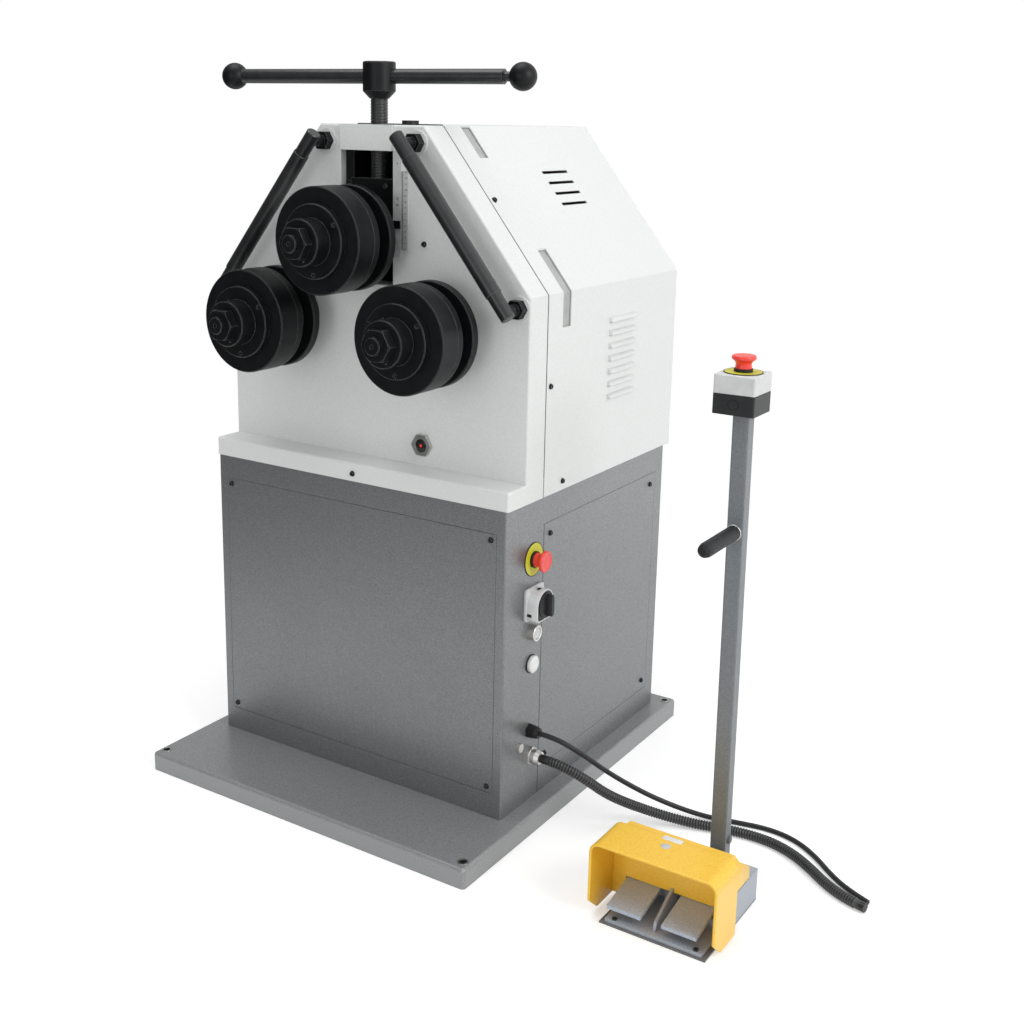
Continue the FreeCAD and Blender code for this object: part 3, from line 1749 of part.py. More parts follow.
rounded(
    hood_mouth,
    "guard_round - guard_wall",
    lambda box: near(box.ZMin, mouth_round) and box.YLength > 1 and box.XLength < 1,
)
seat = "(station_plate + casting_block_height)"
housing = plate(
    "YZ_Plane",
    [
        ("guard_front + guard_side_depth - guard_wall", seat),
        ("guard_front + guard_side_depth - guard_wall", "guard_top"),
        ("guard_top_depth", "guard_top"),
        ("guard_slope_top", "guard_slope_high"),
        ("guard_slope_rear", "guard_slope_low"),
        ("guard_slope_rear", seat),
    ],
    "station_width",
    x="station_left",
    y="-station_front",
)
back_wall = "(guard_back_wall)"
chamber = block(
    "station_left + guard_wall",
    "-station_front + guard_front + guard_side_depth - 2 * guard_wall",
    "guard_low - 1",
    "station_width - 2 * guard_wall",
    f"{back_wall} - guard_front - guard_side_depth + 2 * guard_wall",
    "guard_top - guard_wall - guard_low + 1",
)
rear_chamber = plate(
    "YZ_Plane",
    [
        (f"{back_wall} + guard_wall", f"{seat} - 1"),
        (f"{back_wall} + guard_wall", "guard_top - guard_wall"),
        ("guard_top_depth - guard_wall", "guard_top - guard_wall"),
        ("guard_slope_top - guard_wall", "guard_slope_high - guard_wall"),
        ("guard_slope_rear - guard_wall", "guard_slope_low - guard_wall"),
        ("guard_slope_rear - guard_wall", f"{seat} - 1"),
    ],
    "station_width - 2 * guard_wall",
    x="station_left + guard_wall",
    y="-station_front",
)
piece("foot_guard", less(fused(hood, housing), hood_mouth, chamber, rear_chamber))

# Mast, rubber grip and the box on top
mast = block(mast_left, mast_front, "station_plate", "mast_width", "mast_depth", "mast_top - station_plate")
mast_hollow = block(
    f"{mast_left} + mast_wall",
    f"{mast_front} + mast_wall",
    "station_plate - 1",
    "mast_width - 2 * mast_wall",
    "mast_depth - 2 * mast_wall",
    "mast_top - station_plate + 2",
)
piece("mast", less(mast, mast_hollow))
piece(
    "grip",
    turned(
        "Y",
        [
            ("0", "-grip_length"),
            ("grip_radius / 2", "-grip_length"),
            ("grip_radius * 0.87", "-grip_length + grip_radius / 3"),
            ("grip_radius", "-grip_length + grip_radius"),
            ("grip_radius", "0"),
            ("0", "0"),
        ],
        x=mast_x,
        y=mast_front,
        z="grip_height",
    ),
)
box_half = "(box_size / 2)"
button_box = plate(
    "XY_Plane",
    [
        (f"-{box_half}", f"-{box_half}"),
        (box_half, f"-{box_half}"),
        (box_half, box_half),
        (f"-{box_half}", box_half),
    ],
    "box_height",
    x=box_x,
    y=mast_y,
    z="mast_top",
)
rounded(button_box, "box_round", lambda box: box.ZMax > sizes["box_height"] - 0.01)
box_cavity = block(
    f"{box_x} - {box_half} + box_wall",
    f"{mast_y} - {box_half} + box_wall",
    "mast_top + box_wall",
    "box_size - 2 * box_wall",
    "box_size - 2 * box_wall",
    "box_height - 2 * box_wall",
)
split = less(
    block(
        f"{box_x} - {box_half} - 1",
        f"{mast_y} - {box_half} - 1",
        "mast_top + box_split",
        "box_size + 2",
        "box_size + 2",
        "box_groove",
    ),
    block(
        f"{box_x} - {box_half} + box_groove",
        f"{mast_y} - {box_half} + box_groove",
        "mast_top + box_split - 1",
        "box_size - 2 * box_groove",
        "box_size - 2 * box_groove",
        "box_groove + 2",
    ),
)
box_front = f"({mast_y} - {box_half})"
knockout = less(
    rod("Y", box_x, f"{box_front} - 1", "mast_top + knockout_height", "knockout_radius", "1 + box_groove"),
    rod("Y", box_x, f"{box_front} - 2", "mast_top + knockout_height", "knockout_radius - knockout_width", "4"),
)
box_hole = rod("Z", box_x, mast_y, f"{box_top} - 2 * box_wall", "control_hole", "3 * box_wall")
piece("button_box", less(button_box, box_cavity, split, knockout, box_hole))
piece("station_button", stop_button("Z", box_x, mast_y, box_top, station_collar_length))

# Leads: hand-chosen points along the floor, joined by straight runs and tangent arcs.
# They are measured from the cabinet's right side, from its front and from the floor.
cabinet_corner = FreeCAD.Vector(
    sizes["housing_width"] / 2 - sizes["cabinet_inset"],
    sizes["cabinet_setback"] - sizes["base_depth"] / 2,
    0,
)
cable_route = [
    (22, 90, 171),
    (44, 90, 171),
    (66, 95, 165),
    (86, 107, 151),
    (103, 126, 131),
    (122, 153, 103),
    (147, 186, 72),
    (181, 221, 41),
    (225, 250, 18),
    (275, 270, 6),
    (328, 287, 4.5),
    (382, 297, 4.5),
    (433, 287, 4.5),
    (479, 256, 4.5),
    (518, 218, 4.5),
    (556, 190, 4.5),
    (595, 173, 4.5),
]
hose_route = [
    (26, 90, 124.5),
    (50, 90, 124.5),
    (74, 94, 119),
    (97, 102, 108),
    (116, 115, 92),
    (133, 133, 72),
    (153, 159, 51),
    (182, 187, 32),
    (219, 210, 18),
    (264, 228, 10),
    (310, 243, 9),
    (358, 252, 9),
    (404, 250, 9),
    (446, 235, 9),
    (484, 210, 9),
    (522, 179, 9),
    (562, 157, 9),
    (598, 148, 9),
]


def lead_path(points, lead):
    """Straight runs between the points, joined by arcs as large as the two runs allow."""
    spots = [cabinet_corner + FreeCAD.Vector(*point) for point in points]
    edges = []
    here = spots[0]
    radii = []
    for before, corner, after in zip(spots, spots[1:], spots[2:]):
        back = before - corner
        ahead = after - corner
        shorter = min(back.Length, ahead.Length)
        back.normalize()
        ahead.normalize()
        half_turn = (math.pi - back.getAngle(ahead)) / 2
        trim = 0.45 * shorter
        radii.append(trim / math.tan(half_turn))
        start = corner + back * trim
        end = corner + ahead * trim
        inward = back + ahead
        inward.normalize()
        middle = corner + inward * (radii[-1] / math.cos(half_turn) - radii[-1])
        edges.append(Part.LineSegment(here, start).toShape())
        edges.append(Part.Arc(start, middle, end).toShape())
        here = end
    edges.append(Part.LineSegment(here, spots[-1]).toShape())
    print(lead, "bend radii", [round(radius) for radius in radii])
    return Part.Wire(edges)


def ring_across(path, distance, radius):
    """A circle square to the path at that distance along it, its X axis kept level."""
    for edge in path.Edges:
        if distance <= edge.Length or edge.isSame(path.Edges[-1]):
            break
        distance -= edge.Length
    at = edge.getParameterByLength(min(distance, edge.Length))
    ahead = edge.tangentAt(at)
    level = ahead.cross(FreeCAD.Vector(0, 0, 1)).normalize()
    turn = FreeCAD.Rotation(level, ahead.cross(level), ahead, "ZXY")
    ring = Part.Wire(Part.Circle(FreeCAD.Vector(), FreeCAD.Vector(0, 0, 1), radius).toShape())
    ring.Placement = FreeCAD.Placement(edge.valueAt(at), turn)
    return ring


# Smooth control cable
cable = doc.addObject("Part::Feature", "Cable")
cable_path = lead_path(cable_route, "control cable")
cable_section = ring_across(cable_path, 0, sizes["cable_diameter"] / 2)
cable.Shape = cable_path.makePipeShell([cable_section], True, False)
piece("control_cable", cable)
section_area = math.pi * sizes["cable_diameter"] ** 2 / 4
print("control cable", round(cable_path.Length), "long, volume over section", cable.Shape.Volume / section_area)

# Ribbed conduit hose: plain ends one diameter long, ribs of four circles each between them
hose = doc.addObject("Part::Feature", "Hose")
hose_path = lead_path(hose_route, "conduit hose")
rib_count = 180
crest_radius = sizes["hose_diameter"] / 2
valley_radius = sizes["hose_valley"] / 2
plain_end = sizes["hose_diameter"]
rib_pitch = (hose_path.Length - 2 * plain_end) / rib_count
stations = [(0, valley_radius)]
for k in range(rib_count):
    start = plain_end + k * rib_pitch
    stations += [
        (start + 0.15 * rib_pitch, valley_radius),
        (start + 0.30 * rib_pitch, crest_radius),
        (start + 0.70 * rib_pitch, crest_radius),
        (start + 0.85 * rib_pitch, valley_radius),
    ]
stations.append((hose_path.Length, valley_radius))
outer_rings = [ring_across(hose_path, distance, radius) for distance, radius in stations]
bore_rings = [ring_across(hose_path, distance, sizes["hose_bore"] / 2) for distance, radius in stations[::2]]
bore_rings.append(ring_across(hose_path, hose_path.Length, sizes["hose_bore"] / 2))
outer_skin = Part.makeLoft(outer_rings, False, True)
bore_skin = Part.makeLoft(bore_rings, False, True)
caps = [Part.Face([outer, bore]) for outer, bore in ((outer_rings[0], bore_rings[0]), (outer_rings[-1], bore_rings[-1]))]
hose_shell = Part.Shell(outer_skin.Faces + bore_skin.Faces + caps)
hose_shell.sewShape()
hose_solid = Part.Solid(hose_shell)
hose_solid.fix(0.001, 0.001, 0.001)
hose.Shape = hose_solid
piece("conduit_hose", hose)
print("conduit hose", round(hose_path.Length), "long, rib pitch", round(rib_pitch, 2), "least gap between ribs", round(0.3 * rib_pitch, 2))

doc.recompute()
for thing in doc.Objects:
    if "Invalid" in thing.State or "Error" in thing.State:
        raise RuntimeError(f"{thing.Name} of {[user.Label for user in thing.InList]} failed: {thing.State}")
os.makedirs("parts", exist_ok=True)
for part in pieces:
    if part.Shape.isNull() or not part.Shape.isValid() or not part.Shape.Solids:
        raise RuntimeError(f"{part.Label} has no valid solid")
    part.Shape.exportStep(f"parts/{part.Label}.step")
    print(part.Label, len(part.Shape.Solids), "solids", round(part.Shape.Volume / 1000, 1), "cubic centimetres")
print(len(pieces), "nodes")
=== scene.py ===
import math

import bpy
import numpy as np
from mathutils import Matrix, Vector


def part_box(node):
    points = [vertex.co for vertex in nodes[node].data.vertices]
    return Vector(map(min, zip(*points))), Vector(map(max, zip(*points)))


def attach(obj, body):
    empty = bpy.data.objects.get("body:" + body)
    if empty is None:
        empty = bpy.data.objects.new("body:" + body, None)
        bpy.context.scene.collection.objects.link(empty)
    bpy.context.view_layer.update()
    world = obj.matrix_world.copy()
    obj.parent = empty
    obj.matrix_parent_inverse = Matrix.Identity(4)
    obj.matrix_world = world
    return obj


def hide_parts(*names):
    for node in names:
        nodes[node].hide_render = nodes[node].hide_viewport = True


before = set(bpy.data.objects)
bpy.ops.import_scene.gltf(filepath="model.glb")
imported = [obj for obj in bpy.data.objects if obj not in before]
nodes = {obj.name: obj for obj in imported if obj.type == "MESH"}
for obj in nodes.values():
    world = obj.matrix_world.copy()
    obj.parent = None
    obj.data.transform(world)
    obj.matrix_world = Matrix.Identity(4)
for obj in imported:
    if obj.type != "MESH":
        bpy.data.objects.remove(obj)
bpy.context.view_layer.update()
print("frame loaded, nodes:", len(nodes))

# white surroundings, soft lamps, a pale floor and the camera
room = {
    "surroundings": 0.55,
    "floorColour": (0.80, 0.80, 0.80, 1),
    "floorLift": 0.385,
    "floorHalf": 14,
    "fadeFrom": 0.9,
    "fadeTo": 2.2,
    "glossLevel": 0.70,
    "glossLimits": (0.12, 1.45),
    "glossAcross": (0.62, 0.26, 0.10),
    "glossFloor": (0.38, 0.16, 0),
    "lamps": [
        # name, place, aims at, size, watts
        ("sideLamp", (3.6, -0.6, 2.4), (0.2, 0, 0.7), 2.2, 66),
        ("topLamp", (-0.4, -0.3, 3.9), (0.1, 0, 0.8), 2.6, 50),
        ("frontLamp", (0.2, -4.6, 1.1), (0.2, 0, 0.6), 2.6, 28),
    ],
}
cameraView = {
    "place": (1.4258, -1.9982, 1.2283),
    "right": (0.8349, 0.5502, 0.0156),
    "up": (-0.1382, 0.1820, 0.9736),
    "ahead": (-0.5328, 0.8150, -0.2280),
    "sensor": 36,
    "lens": 46.33,
    "shift": (0.0296, -0.0836),
    "clip": (0.05, 60),
}

scene = bpy.context.scene
scene.view_settings.view_transform = "Standard"


def setInput(tree, socket, value):
    # a number or a colour is written into a socket, another node's output is linked to it
    if isinstance(value, bpy.types.NodeSocket):
        tree.links.new(value, socket)
    else:
        socket.default_value = value


def addNode(tree, kind, inputs=None, **settings):
    node = tree.nodes.new("ShaderNode" + kind)
    for field, value in settings.items():
        setattr(node, field, value)
    for socket, value in (inputs or {}).items():
        setInput(tree, node.inputs[socket], value)
    return node


def oneOf(tree, first, second):
    # 1 where either kind of ray is true, else 0
    return addNode(tree, "Math", {0: first, 1: second}, operation="ADD", use_clamp=True).outputs[0]


def seenRays(tree):
    # 1 for rays that come from the camera, a gloss or a glass, else 0
    rays = addNode(tree, "LightPath").outputs
    return oneOf(tree, rays["Is Camera Ray"], oneOf(tree, rays["Is Glossy Ray"], rays["Is Transmission Ray"]))


def glossShare(tree, place, lean):
    # what a gloss sees: brighter to the right and the rear, darker to the front and the left
    low, high = room["glossLimits"]
    slanted = addNode(tree, "VectorMath", {0: place, 1: lean}, operation="DOT_PRODUCT").outputs["Value"]
    raised = addNode(tree, "Math", {0: slanted, 1: room["glossLevel"]}, operation="ADD").outputs[0]
    return addNode(tree, "Clamp", {"Value": raised, "Min": low, "Max": high}).outputs[0]


def seenLevel(tree, diffuse, gloss):
    # the strength for each kind of ray: camera and glass see plain white, a gloss its own level
    rays = addNode(tree, "LightPath").outputs
    forGloss = addNode(tree, "Mix", {0: rays["Is Glossy Ray"], 2: diffuse, 3: gloss}).outputs[0]
    clear = oneOf(tree, rays["Is Camera Ray"], rays["Is Transmission Ray"])
    return addNode(tree, "Mix", {0: clear, 2: forGloss, 3: 1.0}).outputs[0]


world = bpy.data.worlds.new("surroundings")
scene.world = world
world.use_nodes = True
worldTree = world.node_tree
worldTree.nodes.clear()
skyWay = addNode(worldTree, "TexCoord").outputs["Generated"]
skyGloss = glossShare(worldTree, skyWay, room["glossAcross"])
worldGlow = addNode(worldTree, "Background", {
    "Color": (1, 1, 1, 1), "Strength": seenLevel(worldTree, room["surroundings"], skyGloss)})
addNode(worldTree, "OutputWorld", {"Surface": worldGlow.outputs[0]})

for name, place, target, size, watts in room["lamps"]:
    light = bpy.data.lights.new(name, "AREA")
    light.shape = "DISK"
    light.size = size
    light.energy = watts
    lamp = bpy.data.objects.new(name, light)
    lamp.location = place
    lamp.rotation_euler = (Vector(target) - Vector(place)).to_track_quat("-Z", "Y").to_euler()
    scene.collection.objects.link(lamp)

cameraData = bpy.data.cameras.new("camera")
cameraData.sensor_width = cameraView["sensor"]
cameraData.lens = cameraView["lens"]
cameraData.shift_x, cameraData.shift_y = cameraView["shift"]
cameraData.clip_start, cameraData.clip_end = cameraView["clip"]
camera = bpy.data.objects.new("camera", cameraData)
behind = [-part for part in cameraView["ahead"]]
axes = Matrix([cameraView["right"], cameraView["up"], behind]).transposed()
camera.matrix_world = Matrix.Translation(cameraView["place"]) @ axes.to_4x4()
scene.collection.objects.link(camera)
scene.camera = camera
print("room and camera set")

# sizes in metres and shares that all finishes of a kind have in common
common = {
    "paintCloud": 0.12, "cloudShare": 0.22, "speckStops": (0.36, 0.5, 0.66), "peelDepth": 0.0006,
    "coatRough": 0.25, "bevelSamples": 4,
    "blotch": 0.02, "fleck": 0.004, "marksDepth": 0.0004, "softStops": (0.3, 0.7),
    "cloud": 0.015, "grainDepth": 0.0003, "mouldedEdge": 0.0006,
    # where the painted shade of the rib valleys turns into the painted highlight of the crests
    "ribShadeStops": (0.46, 0.54), "ribCloud": 0.01, "ribGrain": 0.001, "ribBump": 0.15,
    "edgeFrom": 0.98, "edgeTo": 0.75,
}


def newFinish(name):
    finish = bpy.data.materials.new(name)
    finish.use_nodes = True
    tree = finish.node_tree
    place = addNode(tree, "TexCoord").outputs["Object"]
    return finish, tree, tree.nodes["Principled BSDF"], place


def noiseAt(tree, place, size, detail=3, rough=0.55):
    # noise whose grains are about that size in metres
    return addNode(tree, "TexNoise", {
        "Vector": place, "Scale": 1 / size, "Detail": detail, "Roughness": rough}).outputs[0]


def ramp(tree, value, stops, colours):
    # colours spread between 0 and 1
    node = addNode(tree, "ValToRGB", {"Fac": value})
    elements = node.color_ramp.elements
    while len(elements) < len(stops):
        elements.new(0.5)
    for element, at, colour in zip(elements, stops, colours):
        element.position = at
        element.color = (*colour, 1)
    return node.outputs["Color"]


def level(tree, value, low, high):
    return addNode(tree, "MapRange", {"Value": value, "To Min": low, "To Max": high}).outputs[0]


def mixed(tree, share, one, other):
    return addNode(tree, "Mix", {0: share, 6: one, 7: other}, data_type="RGBA").outputs[2]


def roundedWay(tree, radius):
    # the surface's own direction, rounded near edges
    return addNode(tree, "Bevel", {"Radius": radius}, samples=common["bevelSamples"]).outputs[0]


def edgeShare(tree, rounded):
    # 1 on a convex edge, 0 on a flat: how far the rounded direction turns from the plain one
    plain = addNode(tree, "NewGeometry").outputs["Normal"]
    turn = addNode(tree, "VectorMath", {0: rounded, 1: plain}, operation="DOT_PRODUCT").outputs["Value"]
    return addNode(tree, "MapRange", {
        "Value": turn, "From Min": common["edgeFrom"], "From Max": common["edgeTo"]}).outputs[0]


def bumped(tree, shader, height, strength, distance, rounded=None):
    bump = addNode(tree, "Bump", {"Height": height, "Strength": strength, "Distance": distance})
    if rounded is not None:
        tree.links.new(rounded, bump.inputs["Normal"])
    tree.links.new(bump.outputs[0], shader.inputs["Normal"])


def setLook(tree, shader, colour, rough, look):
    setInput(tree, shader.inputs["Base Color"], colour)
    setInput(tree, shader.inputs["Roughness"], rough)
    shader.inputs["Metallic"].default_value = look.get("metal", 0)
    shader.inputs["Specular IOR Level"].default_value = look.get("gloss", 0.5)
    shader.inputs["Coat Weight"].default_value = look.get("coat", 0)


def paintFinish(name, look):
    # sprayed paint: a base colour with fine specks, orange peel in its bump, softened edges
    finish, tree, shader, place = newFinish(name)
    specks = noiseAt(tree, place, look["speckSize"], 2, 0.7)
    cloud = noiseAt(tree, place, common["paintCloud"], 2)
    colour = ramp(tree, specks, common["speckStops"], (look["dark"], look["colour"], look["light"]))
    clouded = mixed(tree, level(tree, cloud, 0.0, common["cloudShare"]), colour, (*look["dark"], 1))
    setLook(tree, shader, clouded, level(tree, cloud, *look["rough"]), look)
    shader.inputs["Coat Roughness"].default_value = common["coatRough"]
    peel = noiseAt(tree, place, look["peelSize"], 2)
    bumped(tree, shader, peel, look["peel"], common["peelDepth"], roundedWay(tree, look["edge"]))
    return finish


def ribShadingFinish(name, look):
    # ribbed plastic: a painted highlight on the crests and painted shade in the valleys, by how far a point stands
    # out
    finish, tree, shader, place = newFinish(name)
    standing = addNode(tree, "NewGeometry").outputs["Pointiness"]
    colour = ramp(tree, standing, common["ribShadeStops"], (look["dark"], look["light"]))
    cloud = noiseAt(tree, place, common["ribCloud"])
    setLook(tree, shader, colour, level(tree, cloud, *look["rough"]), look)
    grain = noiseAt(tree, place, common["ribGrain"], 2)
    bumped(tree, shader, grain, common["ribBump"], common["grainDepth"])
    return finish


def steelFinish(name, look, centre=None):
    # blackened or bright steel; with a centre (x, z) the tool marks run round that axis along Y
    finish, tree, shader, place = newFinish(name)
    marksAt = place
    if centre is not None:
        moved = addNode(tree, "Mapping", {"Vector": place, "Location": (-centre[0], 0, -centre[1])})
        parts = addNode(tree, "SeparateXYZ", {0: moved.outputs[0]}).outputs
        across = addNode(tree, "CombineXYZ", {0: parts[0], 1: parts[2]}).outputs[0]
        reach = addNode(tree, "VectorMath", {0: across}, operation="LENGTH").outputs["Value"]
        marksAt = addNode(tree, "CombineXYZ", {0: reach, 1: parts[1]}).outputs[0]
    marks = noiseAt(tree, marksAt, look["markSize"], 3, 0.6)
    blotch = noiseAt(tree, place, common["blotch"], 4, 0.6)
    base = ramp(tree, blotch, common["softStops"], (look["dark"], look["colour"]))
    rounded = roundedWay(tree, look["edge"])
    # convex edges get a lighter colour: partly real wear, partly a painted highlight along the rims
    fleck = level(tree, noiseAt(tree, place, common["fleck"], 3, 0.7), *look["wearAndHighlight"])
    wornAndLitEdge = addNode(tree, "Math", {0: edgeShare(tree, rounded), 1: fleck}, operation="MULTIPLY", use_clamp=True)
    colour = mixed(tree, wornAndLitEdge.outputs[0], base, (*look["wornAndLitEdge"], 1))
    setLook(tree, shader, colour, level(tree, blotch, *look["rough"]), look)
    bumped(tree, shader, marks, look["marks"], common["marksDepth"], rounded)
    return finish


def mouldedFinish(name, look):
    # plastic or rubber: nearly one colour, fine grain in its bump, softened edges
    finish, tree, shader, place = newFinish(name)
    cloud = noiseAt(tree, place, common["cloud"])
    colour = ramp(tree, cloud, common["softStops"], (look["dark"], look["colour"]))
    setLook(tree, shader, colour, level(tree, cloud, *look["rough"]), look)
    grain = noiseAt(tree, place, look["grainSize"], 3, 0.6)
    rounded = roundedWay(tree, look.get("edge", common["mouldedEdge"]))
    bumped(tree, shader, grain, look["grain"], common["grainDepth"], rounded)
    return finish


sprayed = {"speckSize": 0.0016, "peelSize": 0.003, "peel": 0.12}
paints = {
    "cabinetGrey": {
        **sprayed, "dark": (0.150, 0.158, 0.163), "colour": (0.205, 0.215, 0.220), "light": (0.275, 0.285, 0.290),
        "rough": (0.34, 0.42), "edge": 0.0018, "metal": 0.55, "coat": 0.12},
    "baseGrey": {
        **sprayed, "dark": (0.205, 0.213, 0.218), "colour": (0.275, 0.285, 0.290), "light": (0.36, 0.37, 0.375),
        "rough": (0.32, 0.40), "edge": 0.0022, "metal": 0.25, "coat": 0.25},
    "mastGrey": {
        **sprayed, "dark": (0.145, 0.158, 0.168), "colour": (0.185, 0.201, 0.215), "light": (0.235, 0.251, 0.265),
        "rough": (0.42, 0.50), "edge": 0.0016, "metal": 0.1},
    "plateGrey": {
        **sprayed, "dark": (0.11, 0.115, 0.12), "colour": (0.15, 0.155, 0.16), "light": (0.20, 0.205, 0.21),
        "rough": (0.40, 0.50), "edge": 0.0010, "metal": 0.2},
    "housingWhite": {
        "dark": (0.70, 0.715, 0.705), "colour": (0.735, 0.755, 0.745), "light": (0.76, 0.78, 0.77),
        "speckSize": 0.003, "rough": (0.34, 0.42), "peelSize": 0.004, "peel": 0.10, "edge": 0.0018},
    "guardYellow": {
        "dark": (0.88, 0.50, 0.028), "colour": (0.93, 0.57, 0.040), "light": (0.95, 0.61, 0.055),
        "speckSize": 0.003, "rough": (0.34, 0.42), "peelSize": 0.0022, "peel": 0.14, "edge": 0.0016, "coat": 0.35},
    "castAluminium": {
        "dark": (0.31, 0.34, 0.385), "colour": (0.40, 0.435, 0.485), "light": (0.49, 0.52, 0.57),
        "speckSize": 0.0022, "rough": (0.42, 0.55), "peelSize": 0.0016, "peel": 0.35, "edge": 0.0012, "metal": 0.05},
    "pedalGrey": {
        "dark": (0.37, 0.425, 0.50), "colour": (0.46, 0.52, 0.61), "light": (0.54, 0.60, 0.69),
        "speckSize": 0.0022, "rough": (0.50, 0.62), "peelSize": 0.0014, "peel": 0.3, "edge": 0.0010, "gloss": 0.4},
    "motorGrey": {
        "dark": (0.06, 0.075, 0.085), "colour": (0.085, 0.10, 0.115), "light": (0.11, 0.13, 0.14),
        "speckSize": 0.003, "rough": (0.45, 0.6), "peelSize": 0.002, "peel": 0.4, "edge": 0.002},
}
smooth = {"grainSize": 0.001, "grain": 0.1}
plastics = {
    "blackPlastic": {
        "dark": (0.008, 0.008, 0.009), "colour": (0.014, 0.014, 0.016), "rough": (0.38, 0.5),
        "grainSize": 0.0008, "grain": 0.25, "gloss": 0.3},
    "gripRubber": {
        "dark": (0.010, 0.011, 0.012), "colour": (0.018, 0.019, 0.021), "rough": (0.5, 0.65),
        "grainSize": 0.0007, "grain": 0.5, "gloss": 0.3},
    "stopRed": {
        "dark": (0.84, 0.040, 0.030), "colour": (0.90, 0.058, 0.042), "rough": (0.28, 0.36),
        "grainSize": 0.0012, "grain": 0.08, "coat": 0.15, "edge": 0.0009},
    "legendYellow": {**smooth, "dark": (0.60, 0.60, 0.02), "colour": (0.66, 0.66, 0.03), "rough": (0.4, 0.5)},
    "switchGrey": {
        "dark": (0.60, 0.61, 0.62), "colour": (0.68, 0.69, 0.70), "rough": (0.35, 0.45),
        "grainSize": 0.0009, "grain": 0.15},
    "lampWhite": {
        "dark": (0.78, 0.79, 0.79), "colour": (0.86, 0.87, 0.87), "rough": (0.16, 0.24),
        "grainSize": 0.003, "grain": 0.05, "coat": 0.4},
    "boxLight": {
        "dark": (0.56, 0.57, 0.57), "colour": (0.64, 0.65, 0.65), "rough": (0.4, 0.5),
        "grainSize": 0.0008, "grain": 0.2},
    "boxDark": {
        "dark": (0.013, 0.014, 0.015), "colour": (0.020, 0.022, 0.023), "rough": (0.42, 0.52),
        "grainSize": 0.0008, "grain": 0.25, "gloss": 0.35},
    "cableBlack": {
        "dark": (0.010, 0.011, 0.012), "colour": (0.020, 0.021, 0.023), "rough": (0.40, 0.55),
        "grainSize": 0.0010, "grain": 0.25, "gloss": 0.4},
    "inkBlack": {**smooth, "dark": (0.006, 0.006, 0.007), "colour": (0.012, 0.012, 0.014), "rough": (0.5, 0.65)},
    "glassDark": {**smooth, "dark": (0.010, 0.012, 0.012), "colour": (0.020, 0.022, 0.020), "rough": (0.06, 0.10)},
    "backingGrey": {**smooth, "dark": (0.36, 0.37, 0.365), "colour": (0.44, 0.45, 0.445), "rough": (0.5, 0.6)},
    "labelPale": {**smooth, "dark": (0.72, 0.72, 0.70), "colour": (0.80, 0.80, 0.78), "rough": (0.4, 0.5)},
    "labelGrey": {**smooth, "dark": (0.50, 0.50, 0.50), "colour": (0.58, 0.58, 0.58), "rough": (0.4, 0.5)},
}
# the edge colour of each steel is partly wear and partly a painted highlight on the rims
blackOxide = {
    "dark": (0.0030, 0.0036, 0.0044), "colour": (0.0060, 0.0068, 0.0080), "wornAndLitEdge": (0.46, 0.465, 0.47),
    "wearAndHighlight": (0.35, 1.0), "rough": (0.34, 0.46), "gloss": 0.22, "marks": 0.25, "markSize": 0.0012, "edge": 0.0009}
bright = {
    "dark": (0.42, 0.42, 0.41), "colour": (0.56, 0.56, 0.55), "wornAndLitEdge": (0.75, 0.75, 0.74),
    "wearAndHighlight": (0.0, 0.8), "rough": (0.25, 0.38), "metal": 1.0, "marks": 0.2, "markSize": 0.0015, "edge": 0.0006}
steels = {
    "blackSteel": blackOxide,
    "brightSteel": bright,
    "nickel": {
        **bright, "dark": (0.60, 0.59, 0.57), "colour": (0.68, 0.67, 0.65), "rough": (0.34, 0.44), "marks": 0.08},
    "bronze": {**bright, "dark": (0.38, 0.20, 0.08), "colour": (0.50, 0.28, 0.12), "wornAndLitEdge": (0.62, 0.40, 0.20)},
    "scaleMetal": {
        **bright, "dark": (0.56, 0.57, 0.57), "colour": (0.66, 0.67, 0.67), "rough": (0.36, 0.46), "metal": 0.2},
    "barSteel": {
        **blackOxide, "dark": (0.010, 0.011, 0.012), "colour": (0.018, 0.0195, 0.021), "rough": (0.26, 0.34),
        "gloss": 0.6, "marks": 0.08, "wearAndHighlight": (0.1, 0.9)},
    # the pin ends are lighter than the hub: the pins' own steel, partly a painted highlight
    "pinSteelAndHighlight": {**blackOxide, "colour": (0.05, 0.052, 0.054), "gloss": 0.5},
}
# the hose's black, with painted shade in the rib valleys and a painted highlight on the crests
ribs = {"dark": (0.004, 0.004, 0.005), "light": (0.085, 0.088, 0.092), "rough": (0.34, 0.46)}
rollerCentres = {"left": (-0.168, 0.877), "right": (0.168, 0.877), "top": (0.0, 1.026)}

finishes = {"hoseBlackAndShading": ribShadingFinish("hoseBlackAndShading", ribs)}
for make, looks in ((paintFinish, paints), (mouldedFinish, plastics), (steelFinish, steels)):
    for name, look in looks.items():
        finishes[name] = make(name, look)
for side, centre in rollerCentres.items():
    finishes[side + "Turned"] = steelFinish(side + "Turned", blackOxide, centre)
print("finishes mixed:", len(finishes))


def dress(node, *names):
    # the CAD node keeps its shape and gets these finishes in its material slots
    slots = nodes[node].data.materials
    slots.clear()
    for name in names:
        slots.append(finishes[name])


def dressTwo(node, plain, other, chosen):
    # the faces whose middles are chosen get the other finish
    dress(node, plain, other)
    mesh = nodes[node].data
    middle = np.zeros(len(mesh.polygons) * 3)
    mesh.polygons.foreach_get("center", middle)
    mesh.polygons.foreach_set("material_index", chosen(*middle.reshape(-1, 3).T).astype(np.int32))
    mesh.update()


